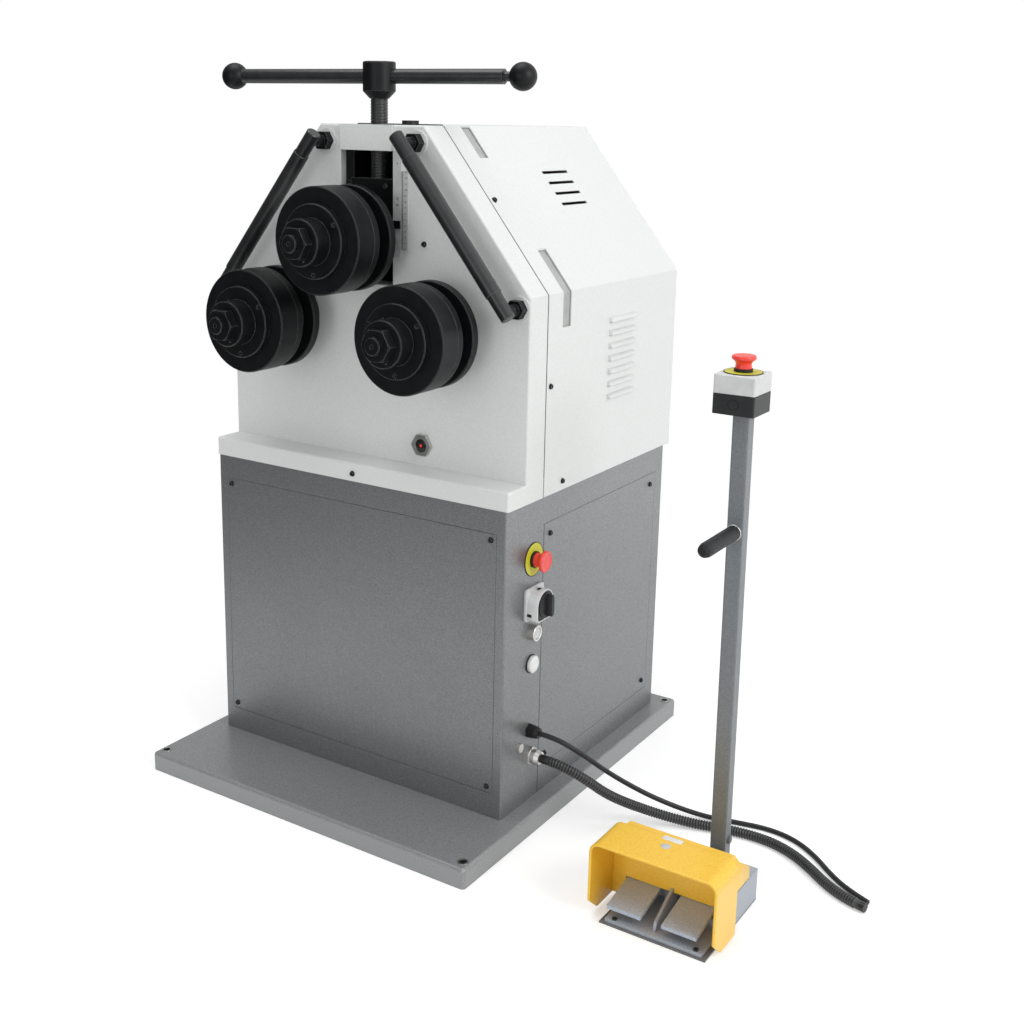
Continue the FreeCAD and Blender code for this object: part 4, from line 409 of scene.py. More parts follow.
nodeFinishes = {
    "baseGrey": ["base_pan"],
    "cabinetGrey": ["cabinet_shell", "front_panel", "side_panel"],
    "housingWhite": ["front_casting", "bridge_block", "rear_cover"],
    "blackSteel": ["gib_strip", "carriage", "handle_hub", "handle_balls", "panel_screws"],
    "barSteel": ["handle_bar", "guide_bars"],
    "brightSteel": ["anchor_sleeves", "left_gear", "right_gear", "drive_pinion", "pedal_pins"],
    "bronze": ["spindle_nut"],
    "plateGrey": ["inner_frame"],
    "motorGrey": ["gearmotor"],
    "scaleMetal": ["depth_scale"],
    "switchGrey": ["start_button"],
    "lampWhite": ["pilot_lamp"],
    "castAluminium": ["foot_casting"],
    "pedalGrey": ["left_pedal", "right_pedal"],
    "gripRubber": ["grip"],
}
for name, group in nodeFinishes.items():
    for node in group:
        dress(node, name)
for side in rollerCentres:
    for part in ("shaft", "front_ring", "grooved_ring", "clamp_hub", "nut"):
        dress(f"{side}_{part}", side + "Turned")

# the washers against the plate are painted with it; the cap, the glands' collars and the box's top differ
dressTwo("guide_posts", "blackSteel", "housingWhite", lambda x, y, z: y > -0.1801)
dressTwo("oil_fittings", "brightSteel", "blackPlastic", lambda x, y, z: z > 1.2)
dressTwo("lead_glands", "blackPlastic", "nickel", lambda x, y, z: (z < 0.1535) | (y < -0.164))
dressTwo("button_box", "boxDark", "boxLight", lambda x, y, z: z > 0.8265)
print("CAD nodes dressed")

# the two leads; their points are in millimetres
cableLead = {
    "diameter": 0.009,
    "length": 0.730,
    "points": [
        (346, -144, 171), (368, -144, 171), (390, -139, 165), (410, -127, 151), (427, -108, 131),
        (446, -81, 103), (471, -48, 72), (505, -13, 41), (549, 16, 18), (599, 36, 6), (652, 53, 4.5),
        (706, 63, 4.5), (757, 53, 4.5), (803, 22, 4.5), (842, -16, 4.5), (880, -44, 4.5), (919, -61, 4.5),
    ],
}
hoseLead = {
    "diameter": 0.018,
    "valley": 0.0156,
    "length": 0.677,
    "ribs": 130,
    "around": 24,
    "alongRib": (0.0, 0.20, 0.38, 0.55, 0.72, 0.90),
    "riseOfRib": (0.0, 0.0, 0.9, 1.0, 0.9, 0.0),
    "points": [
        (350, -144, 124.5), (374, -144, 124.5), (398, -140, 119), (421, -132, 108), (440, -119, 92),
        (457, -101, 72), (477, -75, 51), (506, -47, 32), (543, -24, 18), (588, -6, 10), (634, 9, 9),
        (682, 18, 9), (728, 16, 9), (770, 1, 9), (808, -24, 9), (846, -55, 9), (886, -77, 9), (922, -86, 9),
    ],
}


def leadCurve(name, lead):
    # a smooth line through space with the lead's points as its control points
    curve = bpy.data.curves.new(name, "CURVE")
    curve.dimensions = "3D"
    curve.resolution_u = 12
    spline = curve.splines.new("NURBS")
    spline.points.add(len(lead["points"]) - 1)
    for point, (x, y, z) in zip(spline.points, lead["points"]):
        point.co = (x / 1000, y / 1000, z / 1000, 1)
    spline.order_u = 3
    spline.use_endpoint_u = True
    piece = bpy.data.objects.new(name, curve)
    scene.collection.objects.link(piece)
    return piece


def meshPoints(piece):
    # the points and faces of a curve or a text once it is a mesh
    mesh = bpy.data.meshes.new_from_object(piece)
    points = np.zeros(len(mesh.vertices) * 3)
    mesh.vertices.foreach_get("co", points)
    faces = [list(face.vertices) for face in mesh.polygons]
    bpy.data.meshes.remove(mesh)
    return points.reshape(-1, 3), faces


def gridMesh(name, points, finish, caps="end", sharp=38):
    # surfaces from points (copies, rows, columns, 3): rows run along, columns run round and close
    points = points if points.ndim == 4 else points[None]
    copies, rows, columns, _ = points.shape
    row, column = np.meshgrid(np.arange(rows - 1), np.arange(columns), indexing="ij")
    following = (column + 1) % columns
    quads = np.stack([
        row * columns + column, row * columns + following,
        (row + 1) * columns + following, (row + 1) * columns + column], axis=-1).reshape(-1, 4)
    start = np.arange(copies)[:, None] * rows * columns
    faces = (quads[None] + start[:, :, None]).reshape(-1, 4).tolist()
    if caps == "both":
        faces += (np.arange(columns)[::-1] + start).tolist()
    if caps != "none":
        faces += (np.arange(columns) + (rows - 1) * columns + start).tolist()
    mesh = bpy.data.meshes.new(name)
    mesh.from_pydata(points.reshape(-1, 3).tolist(), [], faces)
    mesh.update()
    mesh.shade_smooth()
    mesh.set_sharp_from_angle(angle=math.radians(sharp))
    mesh.materials.append(finishes[finish])
    piece = bpy.data.objects.new(name, mesh)
    scene.collection.objects.link(piece)
    return piece


def roundWays(around):
    # unit steps to points evenly round a circle
    turn = np.linspace(0, 2 * np.pi, around, endpoint=False)
    return np.stack([np.cos(turn), np.sin(turn)], axis=1)


cablePiece = leadCurve("controlCable", cableLead)
cablePiece.data.bevel_depth = cableLead["diameter"] / 2
cablePiece.data.bevel_resolution = 8
cablePiece.data.use_fill_caps = True
cablePiece.data.materials.append(finishes["cableBlack"])
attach(cablePiece, "machine")
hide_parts("control_cable")

hoseGuide = leadCurve("hoseGuide", hoseLead)
hoseLine = meshPoints(hoseGuide)[0]
bpy.data.objects.remove(hoseGuide)


def ribbedHose(name, lead, line):
    # a tube round the line; its radius goes in smooth steps from valley to crest and back, once for each rib
    reach = np.concatenate([[0], np.cumsum(np.linalg.norm(np.diff(line, axis=0), axis=1))])
    total, plain = reach[-1], lead["diameter"]
    pitch = (total - 2 * plain) / lead["ribs"]
    along = (plain + (np.arange(lead["ribs"])[:, None] + lead["alongRib"]) * pitch).ravel()
    along = np.concatenate([[0, plain * 0.5], along, [total - plain * 0.5, total]])
    rise = np.concatenate([[0, 0], np.tile(lead["riseOfRib"], lead["ribs"]), [0, 0]])
    radius = (lead["valley"] + rise * (lead["diameter"] - lead["valley"])) / 2
    centre = np.stack([np.interp(along, reach, line[:, axis]) for axis in range(3)], axis=1)
    ahead = np.gradient(centre, along, axis=0)
    ahead /= np.linalg.norm(ahead, axis=1)[:, None]
    side = np.cross(ahead, (0, 0, 1))
    side /= np.linalg.norm(side, axis=1)[:, None]
    upward = np.cross(side, ahead)
    ways = roundWays(lead["around"])
    points = centre[:, None] + radius[:, None, None] * (
        ways[None, :, :1] * side[:, None] + ways[None, :, 1:] * upward[:, None])
    return gridMesh(name, points, "hoseBlackAndShading", "both", sharp=70)


hosePiece = ribbedHose("conduitHose", hoseLead, hoseLine)
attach(hosePiece, "machine")
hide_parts("conduit_hose")
print("leads laid")

# tools for the pieces below; their sizes are in millimetres
origin = (0, 0, 0)
facings = {
    # ahead, side and up of a piece that stands on the right face, on the front or on the top
    "right": ((1, 0, 0), (0, 1, 0), (0, 0, 1)),
    "front": ((0, -1, 0), (1, 0, 0), (0, 0, 1)),
    "top": ((0, 0, 1), (1, 0, 0), (0, 1, 0)),
}


def stacked(places, facing, rows):
    # flat outlines stacked ahead of each place; a row is its outline (n, 2) and its distance ahead
    ahead, side, up = (np.array(part, float) for part in facings[facing])
    outline = np.stack([row[0] for row in rows])
    along = np.array([row[1] for row in rows], float)
    shape = outline[..., :1] * side + outline[..., 1:] * up + along[:, None, None] * ahead
    return (np.atleast_2d(np.array(places, float))[:, None, None] + shape) / 1000


def hexagon(inner, around=24):
    # the radius grows from the middle of a flat to a corner by one over the cosine of the angle between
    ways = roundWays(around)
    turn = np.arange(around) * 2 * np.pi / around
    return inner * ways / np.cos(turn % (np.pi / 3) - np.pi / 6)[:, None]


def softReach(ways, halfWide, halfHigh, power):
    # a rounded rectangle: the shares of its half sizes, each to the power, add up to 1
    return ((np.abs(ways) / (halfWide, halfHigh)) ** power).sum(axis=1) ** (-1 / power)


def softBox(wide, high, power=8, around=48):
    ways = roundWays(around)
    return softReach(ways, wide / 2, high / 2, power)[:, None] * ways


def arch(half, low, around=64):
    # round above its middle, and below it a soft rectangle that ends flat
    ways = roundWays(around)
    return np.where(ways[:, 1] >= 0, half, softReach(ways, half, low, 9))[:, None] * ways


def shrunk(outline, share):
    # an outline drawn in towards its middle
    middle = outline.mean(axis=0)
    return middle + (outline - middle) * share


def turnedRows(profile, around=24):
    # circles from a profile of radius and distance ahead
    return [(radius * roundWays(around), along) for radius, along in profile]


def band(outer, inner, near, far):
    # a strip between two lines of (x, z) points, from one depth to another
    edges = [np.stack([edge[:, 0], np.full(len(edge), y), edge[:, 1]], axis=1)
             for edge, y in ((outer, near), (outer, far), (inner, far), (inner, near))]
    return np.stack(edges, axis=1) / 1000


def settle(piece, body, slot, *replaced):
    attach(piece, body)
    if replaced:
        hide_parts(*replaced)
    return piece


def addPiece(name, points, finish, slot, *replaced, body="machine", caps="end", sharp=38):
    return settle(gridMesh(name, points, finish, caps, sharp), body, slot, *replaced)


def socketScrews(name, places, facing, screw, body="machine", finish="blackSteel"):
    # cap screws: a round head with a softened rim and a hexagon socket
    radius, height = screw["radius"], screw["height"]
    rows = turnedRows([(radius, 0), (radius, height - 0.5), (radius - 0.5, height)])
    rows += [(hexagon(radius * 0.52), height), (hexagon(radius * 0.50), height * 0.35)]
    addPiece(name, stacked(places, facing, rows), finish, "black_steel", body=body)


# the spindle with its thread
thread = {
    "centre": (0, -154, 0), "crest": 15, "root": 14.3, "pitch": 5, "from": 1124.3, "to": 1257.5,
    "stepsPerTurn": 12, "around": 48,
    "foot": [(14.9, 1092), (14.9, 1100), (9, 1100), (9, 1124.3)],
    "journal": [(12, 1257.5), (12, 1279)],
}
rise = np.arange(thread["from"], thread["to"], thread["pitch"] / thread["stepsPerTurn"])
# how far up one turn of the thread a point is: height over pitch less the angle's share of a turn
phase = (rise[:, None] / thread["pitch"] - np.arange(thread["around"]) / thread["around"]) % 1
flank = np.clip(2 * np.abs(2 * phase - 1) - 0.5, 0, 1)
radius = thread["root"] + (thread["crest"] - thread["root"]) * flank
rows = turnedRows(thread["foot"], thread["around"])
rows += list(zip(radius[..., None] * roundWays(thread["around"]), rise))
rows += turnedRows(thread["journal"], thread["around"])
addPiece("threadedSpindle", stacked(thread["centre"], "top", rows), "barSteel", "black_steel", "spindle",
         body="spindle", caps="both", sharp=60)
print("spindle cut:", len(rise), "rows")

# screws and pin marks on the rollers, in the slide slot and on the foot casting
flangeScrews = {"circle": 55, "angles": (33, 153, 273), "depth": -330.5, "radius": 3.7, "height": 4.3}
pinMarks = {
    # reach, angle and depth of each mark
    "places": [(42, 121, -336), (31, -72, -368)],
    "profile": [(1.7, 0), (1.36, 0.7), (0.68, 0.7)],
}
slotScrew = {"radius": 4.5, "height": 4, "gib": (-56, 1115), "carriage": (35, 1112)}
castingScrew = {"radius": 4.4, "height": 2.6, "places": [(606, -341, 8.6), (744, -341, 8.6)]}


def frontOf(node):
    # how far to the front a CAD node reaches
    return 1000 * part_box(node)[0][1]


def aroundRoller(side, reach, angle, depth):
    x, z = rollerCentres[side]
    return (1000 * x + reach * math.cos(math.radians(angle)), depth,
            1000 * z + reach * math.sin(math.radians(angle)))


for side in rollerCentres:
    places = [aroundRoller(side, flangeScrews["circle"], angle, flangeScrews["depth"])
              for angle in flangeScrews["angles"]]
    socketScrews(side + "FlangeScrews", places, "front", flangeScrews, side + "_roller", side + "Turned")
    marks = [aroundRoller(side, *place) for place in pinMarks["places"]]
    addPiece(side + "PinMarks", stacked(marks, "front", turnedRows(pinMarks["profile"], 10)), "pinSteelAndHighlight",
             "black_steel", body=side + "_roller")
for name, node, body in (("gib", "gib_strip", "machine"), ("carriage", "carriage", "carriage")):
    x, z = slotScrew[name]
    socketScrews(name + "Screw", (x, frontOf(node), z), "front", slotScrew, body)
socketScrews("castingScrews", castingScrew["places"], "top", castingScrew)
print("screws set")

# the black way plate behind the carriage
wayPlate = {
    "low": 900, "high": 1190,
    "section": [(-128, -53.5), (-128, -57.5), (-34, -57.5), (-33, -56), (20, -56), (21, -57.5),
                (64, -57.5), (64, -53.5)],
}
rows = [(np.array(wayPlate["section"], float), wayPlate[end]) for end in ("low", "high")]
addPiece("wayPlate", stacked(origin, "top", rows), "blackSteel", "black_steel", caps="both")

# the depth scale's lines, figures and rivets
ruler = {
    "left": 66.9, "low": 1007, "lines": 131, "face": -179.02, "proud": 0.14, "lineWidth": 0.38,
    "reach": (2.4, 3.6, 5.2), "figureSize": 4.86, "figureLeft": 73.2,
    "rivets": [1151.7, 1092.5, 1081.8, 1018.2, 1007.5], "rivetSide": 58,
    "rivetProfile": [(2.2, -0.1), (2.1, 0.08), (1.6, 0.18), (0.6, 0.22)],
}
step = np.arange(ruler["lines"])
short, middling, long = ruler["reach"]
reach = np.where(step % 10 == 0, long, np.where(step % 5 == 0, middling, short))
corner = np.array([(0, -1), (1, -1), (1, 1), (0, 1)], float)
# each line is a small plate: its corners run along x by the line's reach and along z by half its width
flat = np.stack([
    ruler["left"] + corner[None, :, 0] * reach[:, None],
    np.full((len(step), 4), ruler["face"]),
    ruler["low"] + step[:, None] + corner[None, :, 1] * ruler["lineWidth"] / 2], axis=-1)
points = np.stack([flat, flat - (0, ruler["proud"], 0)], axis=1) / 1000
addPiece("rulerLines", points, "inkBlack", "scale_metal")

corners, faces = [], []
for figure in range(0, ruler["lines"], 10):
    words = bpy.data.curves.new("figure", "FONT")
    words.body = str(figure // 10)
    words.size = ruler["figureSize"]
    words.extrude = ruler["proud"] / 2
    words.align_y = "CENTER"
    shown = bpy.data.objects.new("figure", words)
    scene.collection.objects.link(shown)
    flat, figureFaces = meshPoints(shown)
    before = sum(map(len, corners))
    faces += [[corner + before for corner in face] for face in figureFaces]
    # the letter's x stays x, its y becomes z, and its depth points to the front
    corners.append(np.stack([
        ruler["figureLeft"] + flat[:, 0], ruler["face"] - ruler["proud"] / 2 - flat[:, 2],
        ruler["low"] + figure + flat[:, 1]], axis=1) / 1000)
    bpy.data.objects.remove(shown)
    bpy.data.curves.remove(words)
figureMesh = bpy.data.meshes.new("rulerFigures")
figureMesh.from_pydata(np.concatenate(corners).tolist(), [], faces)
figureMesh.materials.append(finishes["inkBlack"])
figures = bpy.data.objects.new("rulerFigures", figureMesh)
scene.collection.objects.link(figures)
settle(figures, "machine", "scale_metal")
places = [(ruler["rivetSide"], frontOf("depth_scale"), height) for height in ruler["rivets"]]
addPiece("scaleRivets", stacked(places, "front", turnedRows(ruler["rivetProfile"], 16)), "nickel", "scale_metal")
print("scale marked")

# the oil sight glass
sight = {
    "centre": (113.4, -183.45, 668.4),
    "pane": [(11.8, -1), (11.8, 0.3), (10.6, 0.9), (4, 1.3)],
    "dot": [(3.0, 1.0), (3.0, 1.5), (2.6, 1.6)],
}
addPiece("sightPane", stacked(sight["centre"], "front", turnedRows(sight["pane"], 32)), "glassDark",
         "black_plastic")
addPiece("sightDot", stacked(sight["centre"], "front", turnedRows(sight["dot"], 20)), "stopRed", "red_plastic")

# the controls: emergency stops, push button and lamp
controls = {
    "legend": [(29.2, 0), (29.2, 1.3), (14.0, 1.3)],
    "rim": [(30.2, 0), (30.2, 1.2), (29.9, 1.5), (29.0, 1.5), (28.8, 1.2)],
    "collar": [(14.6, 1.3), (14.6, 5.9), (14.1, 6.5), (13.5, 6.5), (13.3, 6.2), (13.3, 2.0)],
    "mushroom": [
        (12.9, 6.3), (12.9, 8.5), (12.4, 11), (12.3, 13), (12.9, 15.5), (14.6, 18), (17.0, 19.6), (18.3, 20.4),
        (18.8, 21.4), (18.9, 23.2), (18.6, 25.0), (17.9, 26.0), (16.9, 26.5), (16.2, 26.4), (15.8, 26.1),
        (9.0, 26.5), (3.0, 26.7)],
    "start": (324, -143, 357),
    "bezel": [(14.5, 0), (14.5, 11.6), (13.8, 12.4), (11.5, 12.4), (10.9, 11.9), (10.9, 6)],
    "lamp": (324, -143, 298),
    "lampFoot": [(17.1, 0), (17.1, 1.4), (16.5, 2.0), (15.6, 2.0), (15.6, 0.5)],
    "stops": [
        # name, place, facing, CAD node and body of the button
        ("cabinet", (324, -143, 490.7), "right", "stop_button"),
        ("station", (676, -124, 856.5), "top", "station_button")],
    "stopParts": [
        # name, profile, finish, slot, caps
        ("Legend", "legend", "legendYellow", "guard_yellow", "end"),
        ("Rim", "rim", "inkBlack", "black_plastic", "none"),
        ("Collar", "collar", "blackPlastic", "black_plastic", "end")],
}
for name, place, facing, button in controls["stops"]:
    for part, profile, finish, slot, caps in controls["stopParts"]:
        addPiece(f"{name}Stop{part}", stacked(place, facing, turnedRows(controls[profile], 48)), finish, slot,
                 "control_collars", caps=caps)
    addPiece(name + "Mushroom", stacked(place, facing, turnedRows(controls["mushroom"], 48)), "stopRed",
             "red_plastic", button, body=button, caps="both", sharp=75)
addPiece("startBezel", stacked(controls["start"], "right", turnedRows(controls["bezel"], 40)), "nickel",
         "nickel", "control_collars", caps="none")
addPiece("lampFoot", stacked(controls["lamp"], "right", turnedRows(controls["lampFoot"], 40)), "blackPlastic",
         "black_plastic", caps="none")

# the main switch
mainSwitch = {
    "centre": (324, -143, 413),
    "plate": [(58.0, 0), (59.0, 0.8), (59.0, 4.6), (58.0, 5.4)],
    "drum": [(28.0, 27.0, 5.2), (28.0, 27.0, 25.6), (27.6, 26.6, 26.6), (26.8, 25.8, 27.0),
             (25.6, 24.6, 27.0), (25.4, 24.4, 26.6), (25.4, 24.4, 25.4)],
    "face": [(25.3, 24.3, 24.6), (25.3, 24.3, 25.8), (24.6, 23.6, 26.2)],
    "disc": [(22.6, 26.2), (22.6, 27.6), (21.8, 28.4)],
    "ridge": [(14.0, 40.0, 27.4), (13.0, 39.4, 30.5), (11.4, 38.4, 35.6), (10.4, 37.6, 37.0), (8.6, 36.0, 37.8)],
    "ridgeShift": (6.5, -1.5),
    # black plates at the notches: painted shade in place of the recesses
    "notchShades": [
        # place, facing, wide, high
        ((335, -171.0, 398), "front", 9, 5.5), ((339, -147, 441.0), "top", 6, 9)],
}


def onSwitch(rows):
    return stacked(mainSwitch["centre"], "right", rows)


plateRows = [(softBox(size, size, 14), along) for size, along in mainSwitch["plate"]]
drumRows, faceRows = ([(arch(half, low), along) for half, low, along in mainSwitch[part]]
                      for part in ("drum", "face"))
ridgeRows = [(softBox(wide, high, 4) + mainSwitch["ridgeShift"], along)
             for wide, high, along in mainSwitch["ridge"]]
addPiece("switchPlate", onSwitch(plateRows), "switchGrey", "light_plastic", "switch_body")
addPiece("switchDrum", onSwitch(drumRows), "switchGrey", "light_plastic", caps="none")
addPiece("switchFace", onSwitch(faceRows), "blackPlastic", "black_plastic")
addPiece("knobDisc", onSwitch(turnedRows(mainSwitch["disc"], 48)), "blackPlastic", "black_plastic", "switch_knob",
         body="switch_knob")
addPiece("knobRidge", onSwitch(ridgeRows), "blackPlastic", "black_plastic", body="switch_knob")
# each notch is a thin black plate whose black is painted shade of a recess
for number, (place, facing, wide, high) in enumerate(mainSwitch["notchShades"]):
    edge = softBox(wide, high, 8, 24)
    rows = [(edge, 0), (edge, 0.35), (softBox(wide - 1, high - 1, 8, 24), 0.1)]
    addPiece(f"switchNotchShade{number}", stacked(place, facing, rows), "inkBlack", "black_plastic")
print("controls built")

# the dark joint line at the side panel's front edge
seam = {"face": 324, "y": -110, "low": 37, "high": 545, "half": 0.9, "sunk": 0.1, "proud": 0.3, "around": 7}
turn = np.linspace(0, np.pi, seam["around"])
rib = np.stack([seam["face"] - seam["sunk"] + seam["proud"] * np.sin(turn),
                seam["y"] - seam["half"] * np.cos(turn)], axis=1)
addPiece("sideSeam", stacked(origin, "top", [(rib, seam["low"]), (rib, seam["high"])]), "inkBlack",
         "black_plastic", caps="both")

# pale sheets behind the lifting slots
backing = {
    "front": -80, "rear": -38, "inward": (0.96, 0.72),
    "lines": {
        "Upper": [(88, 1210.8), (110.6, 1210.8), (164, 1144)],
        "Lower": [(262.0, 1021.5), (324.6, 943.2), (324.6, 872)],
    },
}
for place, line in backing["lines"].items():
    for side, sign in (("right", 1), ("left", -1)):
        outer = np.array(line, float)
        sheet = band(outer * (sign, 1), (outer - backing["inward"]) * (sign, 1), backing["front"], backing["rear"])
        addPiece(f"{side}{place}Backing", sheet[:, ::sign], "backingGrey", "housing_white", caps="both")
print("joint line and slot backings laid")

# the foot guard: a hood open to the front, its back wall and the lower housing behind it
guard = {
    "left": 562, "right": 777, "top": 134, "front": -352.5, "rear": -270, "wall": 4, "round": 17,
    "lip": 2.6, "lipSteps": 7, "depths": (-270, -290, -324.5, -340, -349.9), "footRise": 0.8,
    "frontLow": 33, "chamferBack": 28, "low": 8, "cornerSteps": 8, "wallSteps": 6, "topSteps": 8,
    "inset": 3.5, "backLow": 44, "backCorner": 14, "backTop": 1.5,
    "backRows": [(0.99, 268.5), (1, 269.5), (1, 272.5), (0.99, 273.5)],
    "legs": [(565.5, 590), (749.5, 773.5)], "legHeights": (9, 45), "legDepths": (268.7, 273.3),
    "housing": [(-272, 59), (-272, 132.5), (-256, 132.5), (-238, 113.5), (-189, 79.6), (-188, 77), (-188, 59)],
    "housingRows": [(0.94667, 582.5), (1, 584.1), (1, 762.9), (0.94667, 764.5)],
    "label": (667, -272.6, 133.95), "labelRows": [(33, 12.4, 0), (33, 12.4, 0.35), (32.6, 12.0, 0.45)],
    "dot": (666, -296, 133.95), "dotProfile": [(8, 0), (8, 0.3), (7.8, 0.4)],
}


def guardArch(offset):
    # points from the foot of the left wall over the top to the foot of the right wall, and how much each
    # follows the foot: 1 at the foot, 0 from the corner up
    left, right = guard["left"] + offset, guard["right"] - offset
    top, turnRadius = guard["top"] - offset, guard["round"] - offset
    shoulder = guard["top"] - guard["round"]
    fall = np.linspace(1, 0, guard["wallSteps"], endpoint=False)
    bend = np.linspace(0, np.pi / 2, guard["cornerSteps"])
    acrossTop = np.linspace(0, 1, guard["topSteps"] + 2)[1:-1]
    x = np.concatenate([
        np.full(len(fall), left), left + turnRadius * (1 - np.cos(bend)),
        left + turnRadius + acrossTop * (right - left - 2 * turnRadius),
        right - turnRadius * (1 - np.cos(bend[::-1])), np.full(len(fall), right)])
    z = np.concatenate([
        np.full(len(fall), shoulder), shoulder + turnRadius * np.sin(bend),
        np.full(len(acrossTop), top), shoulder + turnRadius * np.sin(bend[::-1]), np.full(len(fall), shoulder)])
    share = np.concatenate([fall, np.zeros(2 * len(bend) + len(acrossTop)), fall[::-1]])
    return x, z, share, shoulder


def guardFoot(y):
    # the wall's foot: it falls in a slant from the front edge, then runs level to the rear
    return np.interp(y - guard["front"], [0, guard["chamferBack"]], [guard["frontLow"], guard["low"]])


# the ring runs forward along the outside, round the lip and back along the inside
ring = [(0, depth) for depth in guard["depths"]]
ring += [(guard["wall"] / 2 - (guard["wall"] / 2 + 0.5) * math.cos(turn),
          guard["front"] + guard["lip"] * (1 - math.sin(turn)))
         for turn in np.linspace(0, np.pi, guard["lipSteps"])]
ring += [(guard["wall"], depth) for depth in guard["depths"][::-1]]
strips = []
for offset, depth in ring:
    x, z, share, shoulder = guardArch(offset)
    height = z - share * (shoulder - guardFoot(depth))
    strips.append(np.stack([x, np.full(len(x), depth), height], axis=1))
shell = np.stack(strips, axis=1)
# the feet close onto the middle of the wall's thickness
footIn = 0.5 * (shell[[0, -1]] + shell[[0, -1]][:, ::-1]) - (0, 0, guard["footRise"])
shell = np.concatenate([footIn[:1], shell, footIn[1:]])
addPiece("guardHood", shell / 1000, "guardYellow", "guard_yellow", "foot_guard", caps="none", sharp=50)

left, right = guard["left"] + guard["inset"], guard["right"] - guard["inset"]
low, high, top = guard["backLow"], guard["top"] - guard["backCorner"], guard["top"] - guard["backTop"]
outline = np.array([
    (left, low), (right, low), (right, high), (guard["right"] - guard["backCorner"], top),
    (guard["left"] + guard["backCorner"], top), (left, high)], float)
rows = [(shrunk(outline, share), along) for share, along in guard["backRows"]]
addPiece("guardBack", stacked(origin, "front", rows), "guardYellow", "guard_yellow", caps="both")
low, high = guard["legHeights"]
for number, (left, right) in enumerate(guard["legs"]):
    leg = np.array([(left, low), (right, low), (right, high), (left, high)], float)
    rows = [(leg, along) for along in guard["legDepths"]]
    addPiece(f"guardLeg{number}", stacked(origin, "front", rows), "guardYellow", "guard_yellow", caps="both")
rows = [(shrunk(np.array(guard["housing"]), share), along) for share, along in guard["housingRows"]]
addPiece("guardHousing", stacked(origin, "right", rows), "guardYellow", "guard_yellow", caps="both")
rows = [(softBox(wide, high, 14), along) for wide, high, along in guard["labelRows"]]
addPiece("guardLabel", stacked(guard["label"], "top", rows), "labelPale", "light_plastic")
addPiece("guardDot", stacked(guard["dot"], "top", turnedRows(guard["dotProfile"], 32)), "labelGrey",
         "light_plastic")
print("guard built")

# studs on the two pedals
studs = {
    "lefts": {"left": 592, "right": 686}, "across": (5, 55.5), "along": (-337, -255), "pitch": 5.3,
    "front": -343, "rear": -245, "frontHigh": 30, "rearHigh": 45,
    "layers": [(3.7, -0.2), (2.3, 0.8)],
}
slope = (studs["rearHigh"] - studs["frontHigh"]) / (studs["rear"] - studs["front"])
along = np.arange(*studs["along"], studs["pitch"])
across = np.arange(*studs["across"], studs["pitch"])
corner = np.array([(-1, -1), (1, -1), (1, 1), (-1, 1)], float) / 2
for side, left in studs["lefts"].items():
    x, y = (part.ravel()[:, None] for part in np.meshgrid(left + across, along))
    z = studs["frontHigh"] + (y - studs["front"]) * slope
    rows = [np.stack([x + corner[:, 0] * size, y + corner[:, 1] * size, z + corner[:, 1] * size * slope + lift],
                     axis=-1) for size, lift in studs["layers"]]
    addPiece(side + "PedalStuds", np.stack(rows, axis=1) / 1000, "pedalGrey", "cast_frame", body=side + "_pedal")
print("pedal studs:", len(x), "each")

# the foot plate without a socket, the mast and the bright ring at the root of the grip
station = {
    "plate": [(583.5, -351), (763.5, -351), (763.5, -150), (722, -150), (722, -94), (640, -94), (640, -150),
              (583.5, -150)],
    "plateRows": [(0.3, 0.0), (0, 0.4), (0, 2.7), (0.3, 3.0)], "plateReach": 90,
    "mast": (681, -124, 0), "mastSize": (27, 23), "mastHeights": (3.0, 794.5), "mastShift": (6, 0),
    "mastSteps": 12,
    "foot": (687, -124, 0), "footRows": [(36, 32, 3), (36, 32, 7), (29, 25, 10)],
    "bolt": (699.6, -124, 74), "boltProfile": [(7, 0), (7, 1.2), (5.5, 1.2)],
    "boltHead": [(5.4, 1.2), (5.4, 4.6), (4.7, 5.2)],
    "ring": (681, -135.4, 604), "ringProfile": [(13.2, -0.5), (13.2, 2.4), (12.6, 3.0), (12.1, 3.0)],
}
outline = np.array(station["plate"], float)
rows = [(shrunk(outline, 1 - drawn / station["plateReach"]), along) for drawn, along in station["plateRows"]]
addPiece("footPlate", stacked(origin, "top", rows), "plateGrey", "plate_grey", "foot_plate", caps="both")
heights = np.linspace(*station["mastHeights"], station["mastSteps"])
shifts = np.linspace(*station["mastShift"], station["mastSteps"])
rows = [(softBox(*station["mastSize"], 16, 64) + (shift, 0), height) for shift, height in zip(shifts, heights)]
addPiece("mastTube", stacked(station["mast"], "top", rows), "mastGrey", "plate_grey", "mast", caps="both")
rows = [(softBox(wide, deep, 12), along) for wide, deep, along in station["footRows"]]
addPiece("mastFoot", stacked(station["foot"], "top", rows), "mastGrey", "plate_grey", caps="none")
rows = turnedRows(station["boltProfile"]) + [(hexagon(inner), along) for inner, along in station["boltHead"]]
addPiece("mastBolt", stacked(station["bolt"], "right", rows), "plateGrey", "nickel")

# the front and rear bearings of the two driven shafts
bearings = {
    "places": [(-168, 0, 877), (168, 0, 877)],
    "front": [(25.05, 124), (44.95, 124), (44.95, 178), (49, 178), (49, 189.2), (48.2, 190), (25.05, 190),
              (25.05, 124)],
    "rear": [(25.05, -70), (39.95, -70), (39.95, -40), (25.05, -40), (25.05, -70)],
}
addPiece("frontBearings", stacked(bearings["places"], "front", turnedRows(bearings["front"], 64)), "blackSteel",
         "bronze", "shaft_bearings", caps="none")
addPiece("rearBearings", stacked(bearings["places"], "front", turnedRows(bearings["rear"], 64)), "bronze",
         "bronze", caps="none")
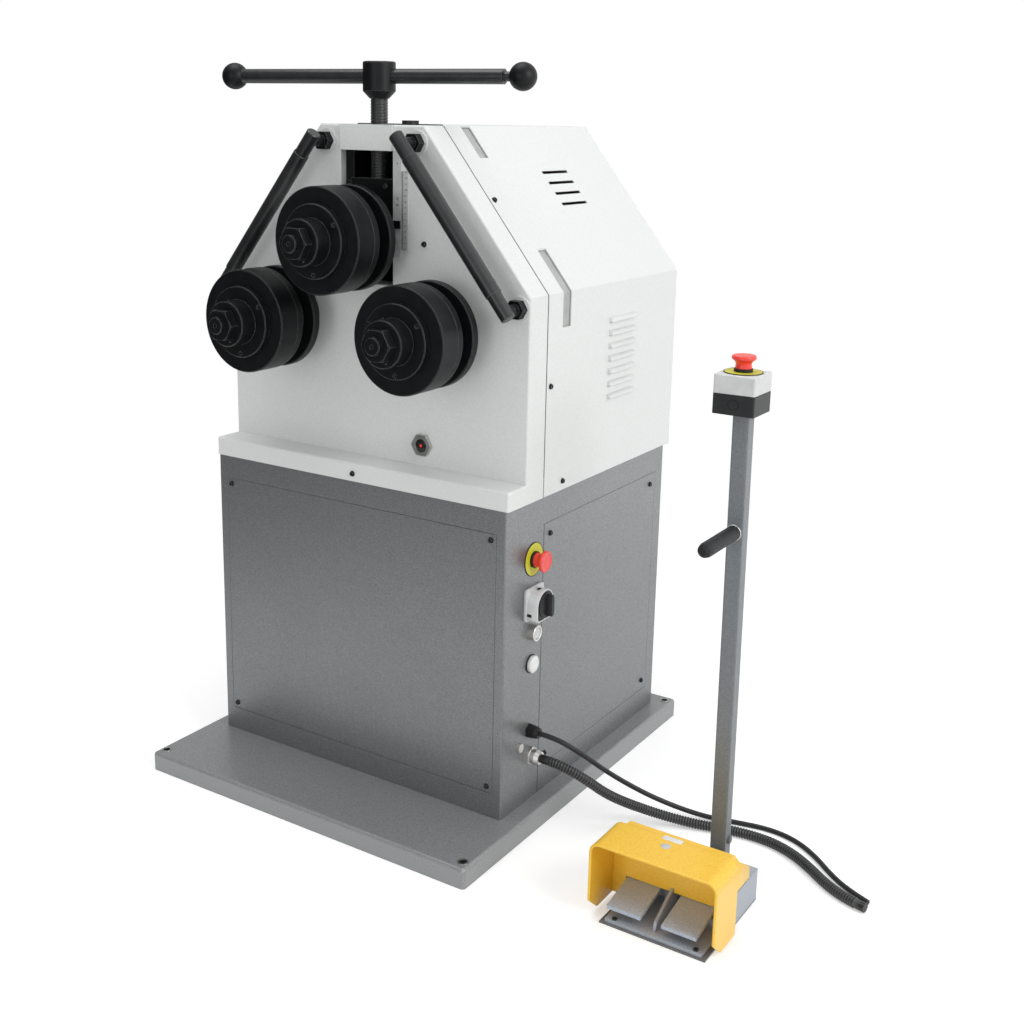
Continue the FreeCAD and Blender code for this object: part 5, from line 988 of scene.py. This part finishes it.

# the dark gasket in the joint between the casting and the cover, and above the casting a black strip that is painted
# shade for the shaded front edge of the cover
gasket = {
    "line": [(327.2, 632), (327.2, 944.2), (111.8, 1213.6), (0, 1213.6), (-111.8, 1213.6), (-327.2, 944.2),
             (-327.2, 632)],
    "front": -124.1, "rear": -120.9, "depth": 1.5,
    # the black strip's section and its ends along x; its black is painted shade
    "lip": [(-131, 1214.6), (-124, 1214.6), (-124, 1216.4), (-130.2, 1216.4), (-131, 1215.6)],
    "shadeStripEnds": (-66, 112),
}
line = np.array(gasket["line"], float)
inner = line - np.sign(line) * (gasket["depth"], 0) - (0, gasket["depth"])
addPiece("coverGasket", band(line, inner, gasket["rear"], gasket["front"]), "inkBlack", "black_plastic",
         caps="both")
# the black strip is painted shade: it stands for the shaded front edge of the cover
shadeStripRows = [(np.array(gasket["lip"]), x) for x in gasket["shadeStripEnds"]]
addPiece("castingTopShadeStrip", stacked(origin, "right", shadeStripRows), "inkBlack", "black_plastic", caps="both")
addPiece("gripRing", stacked(station["ring"], "front", turnedRows(station["ringProfile"], 32)), "nickel",
         "nickel", caps="none")
print("foot plate, mast, bearings and gasket built")

# the floor: away from the object it goes over into the white of the surroundings, for the rays that see it
half = room["floorHalf"]
floorMesh = bpy.data.meshes.new("floor")
floorMesh.from_pydata([(-half, -half, 0), (half, -half, 0), (half, half, 0), (-half, half, 0)], [], [(0, 1, 2, 3)])
floor = bpy.data.objects.new("floor", floorMesh)
scene.collection.objects.link(floor)
floorFinish = bpy.data.materials.new("floorPale")
floorFinish.use_nodes = True
floorTree = floorFinish.node_tree
floorTree.nodes.clear()
white = (1, 1, 1, 1)
matte = addNode(floorTree, "BsdfDiffuse", {"Color": room["floorColour"]})
floorSeen = seenRays(floorTree)
lift = addNode(floorTree, "Math", {0: floorSeen, 1: room["floorLift"]}, operation="MULTIPLY")
glow = addNode(floorTree, "Emission", {"Color": white, "Strength": lift.outputs[0]})
both = addNode(floorTree, "AddShader", {0: matte.outputs[0], 1: glow.outputs[0]})
floorPlace = addNode(floorTree, "TexCoord").outputs["Object"]
floorReach = addNode(floorTree, "VectorMath", {0: floorPlace}, operation="LENGTH").outputs["Value"]
far = addNode(floorTree, "MapRange", {
    "Value": floorReach, "From Min": room["fadeFrom"], "From Max": room["fadeTo"]}, interpolation_type="SMOOTHSTEP")
farSeen = addNode(floorTree, "Math", {0: floorSeen, 1: far.outputs[0]}, operation="MULTIPLY")
floorGloss = glossShare(floorTree, floorPlace, room["glossFloor"])
farGlow = addNode(floorTree, "Emission", {"Color": white, "Strength": seenLevel(floorTree, 1.0, floorGloss)})
faded = addNode(floorTree, "MixShader", {0: farSeen.outputs[0], 1: both.outputs[0], 2: farGlow.outputs[0]})
addNode(floorTree, "OutputMaterial", {"Surface": faded.outputs[0]})
floorMesh.materials.append(floorFinish)
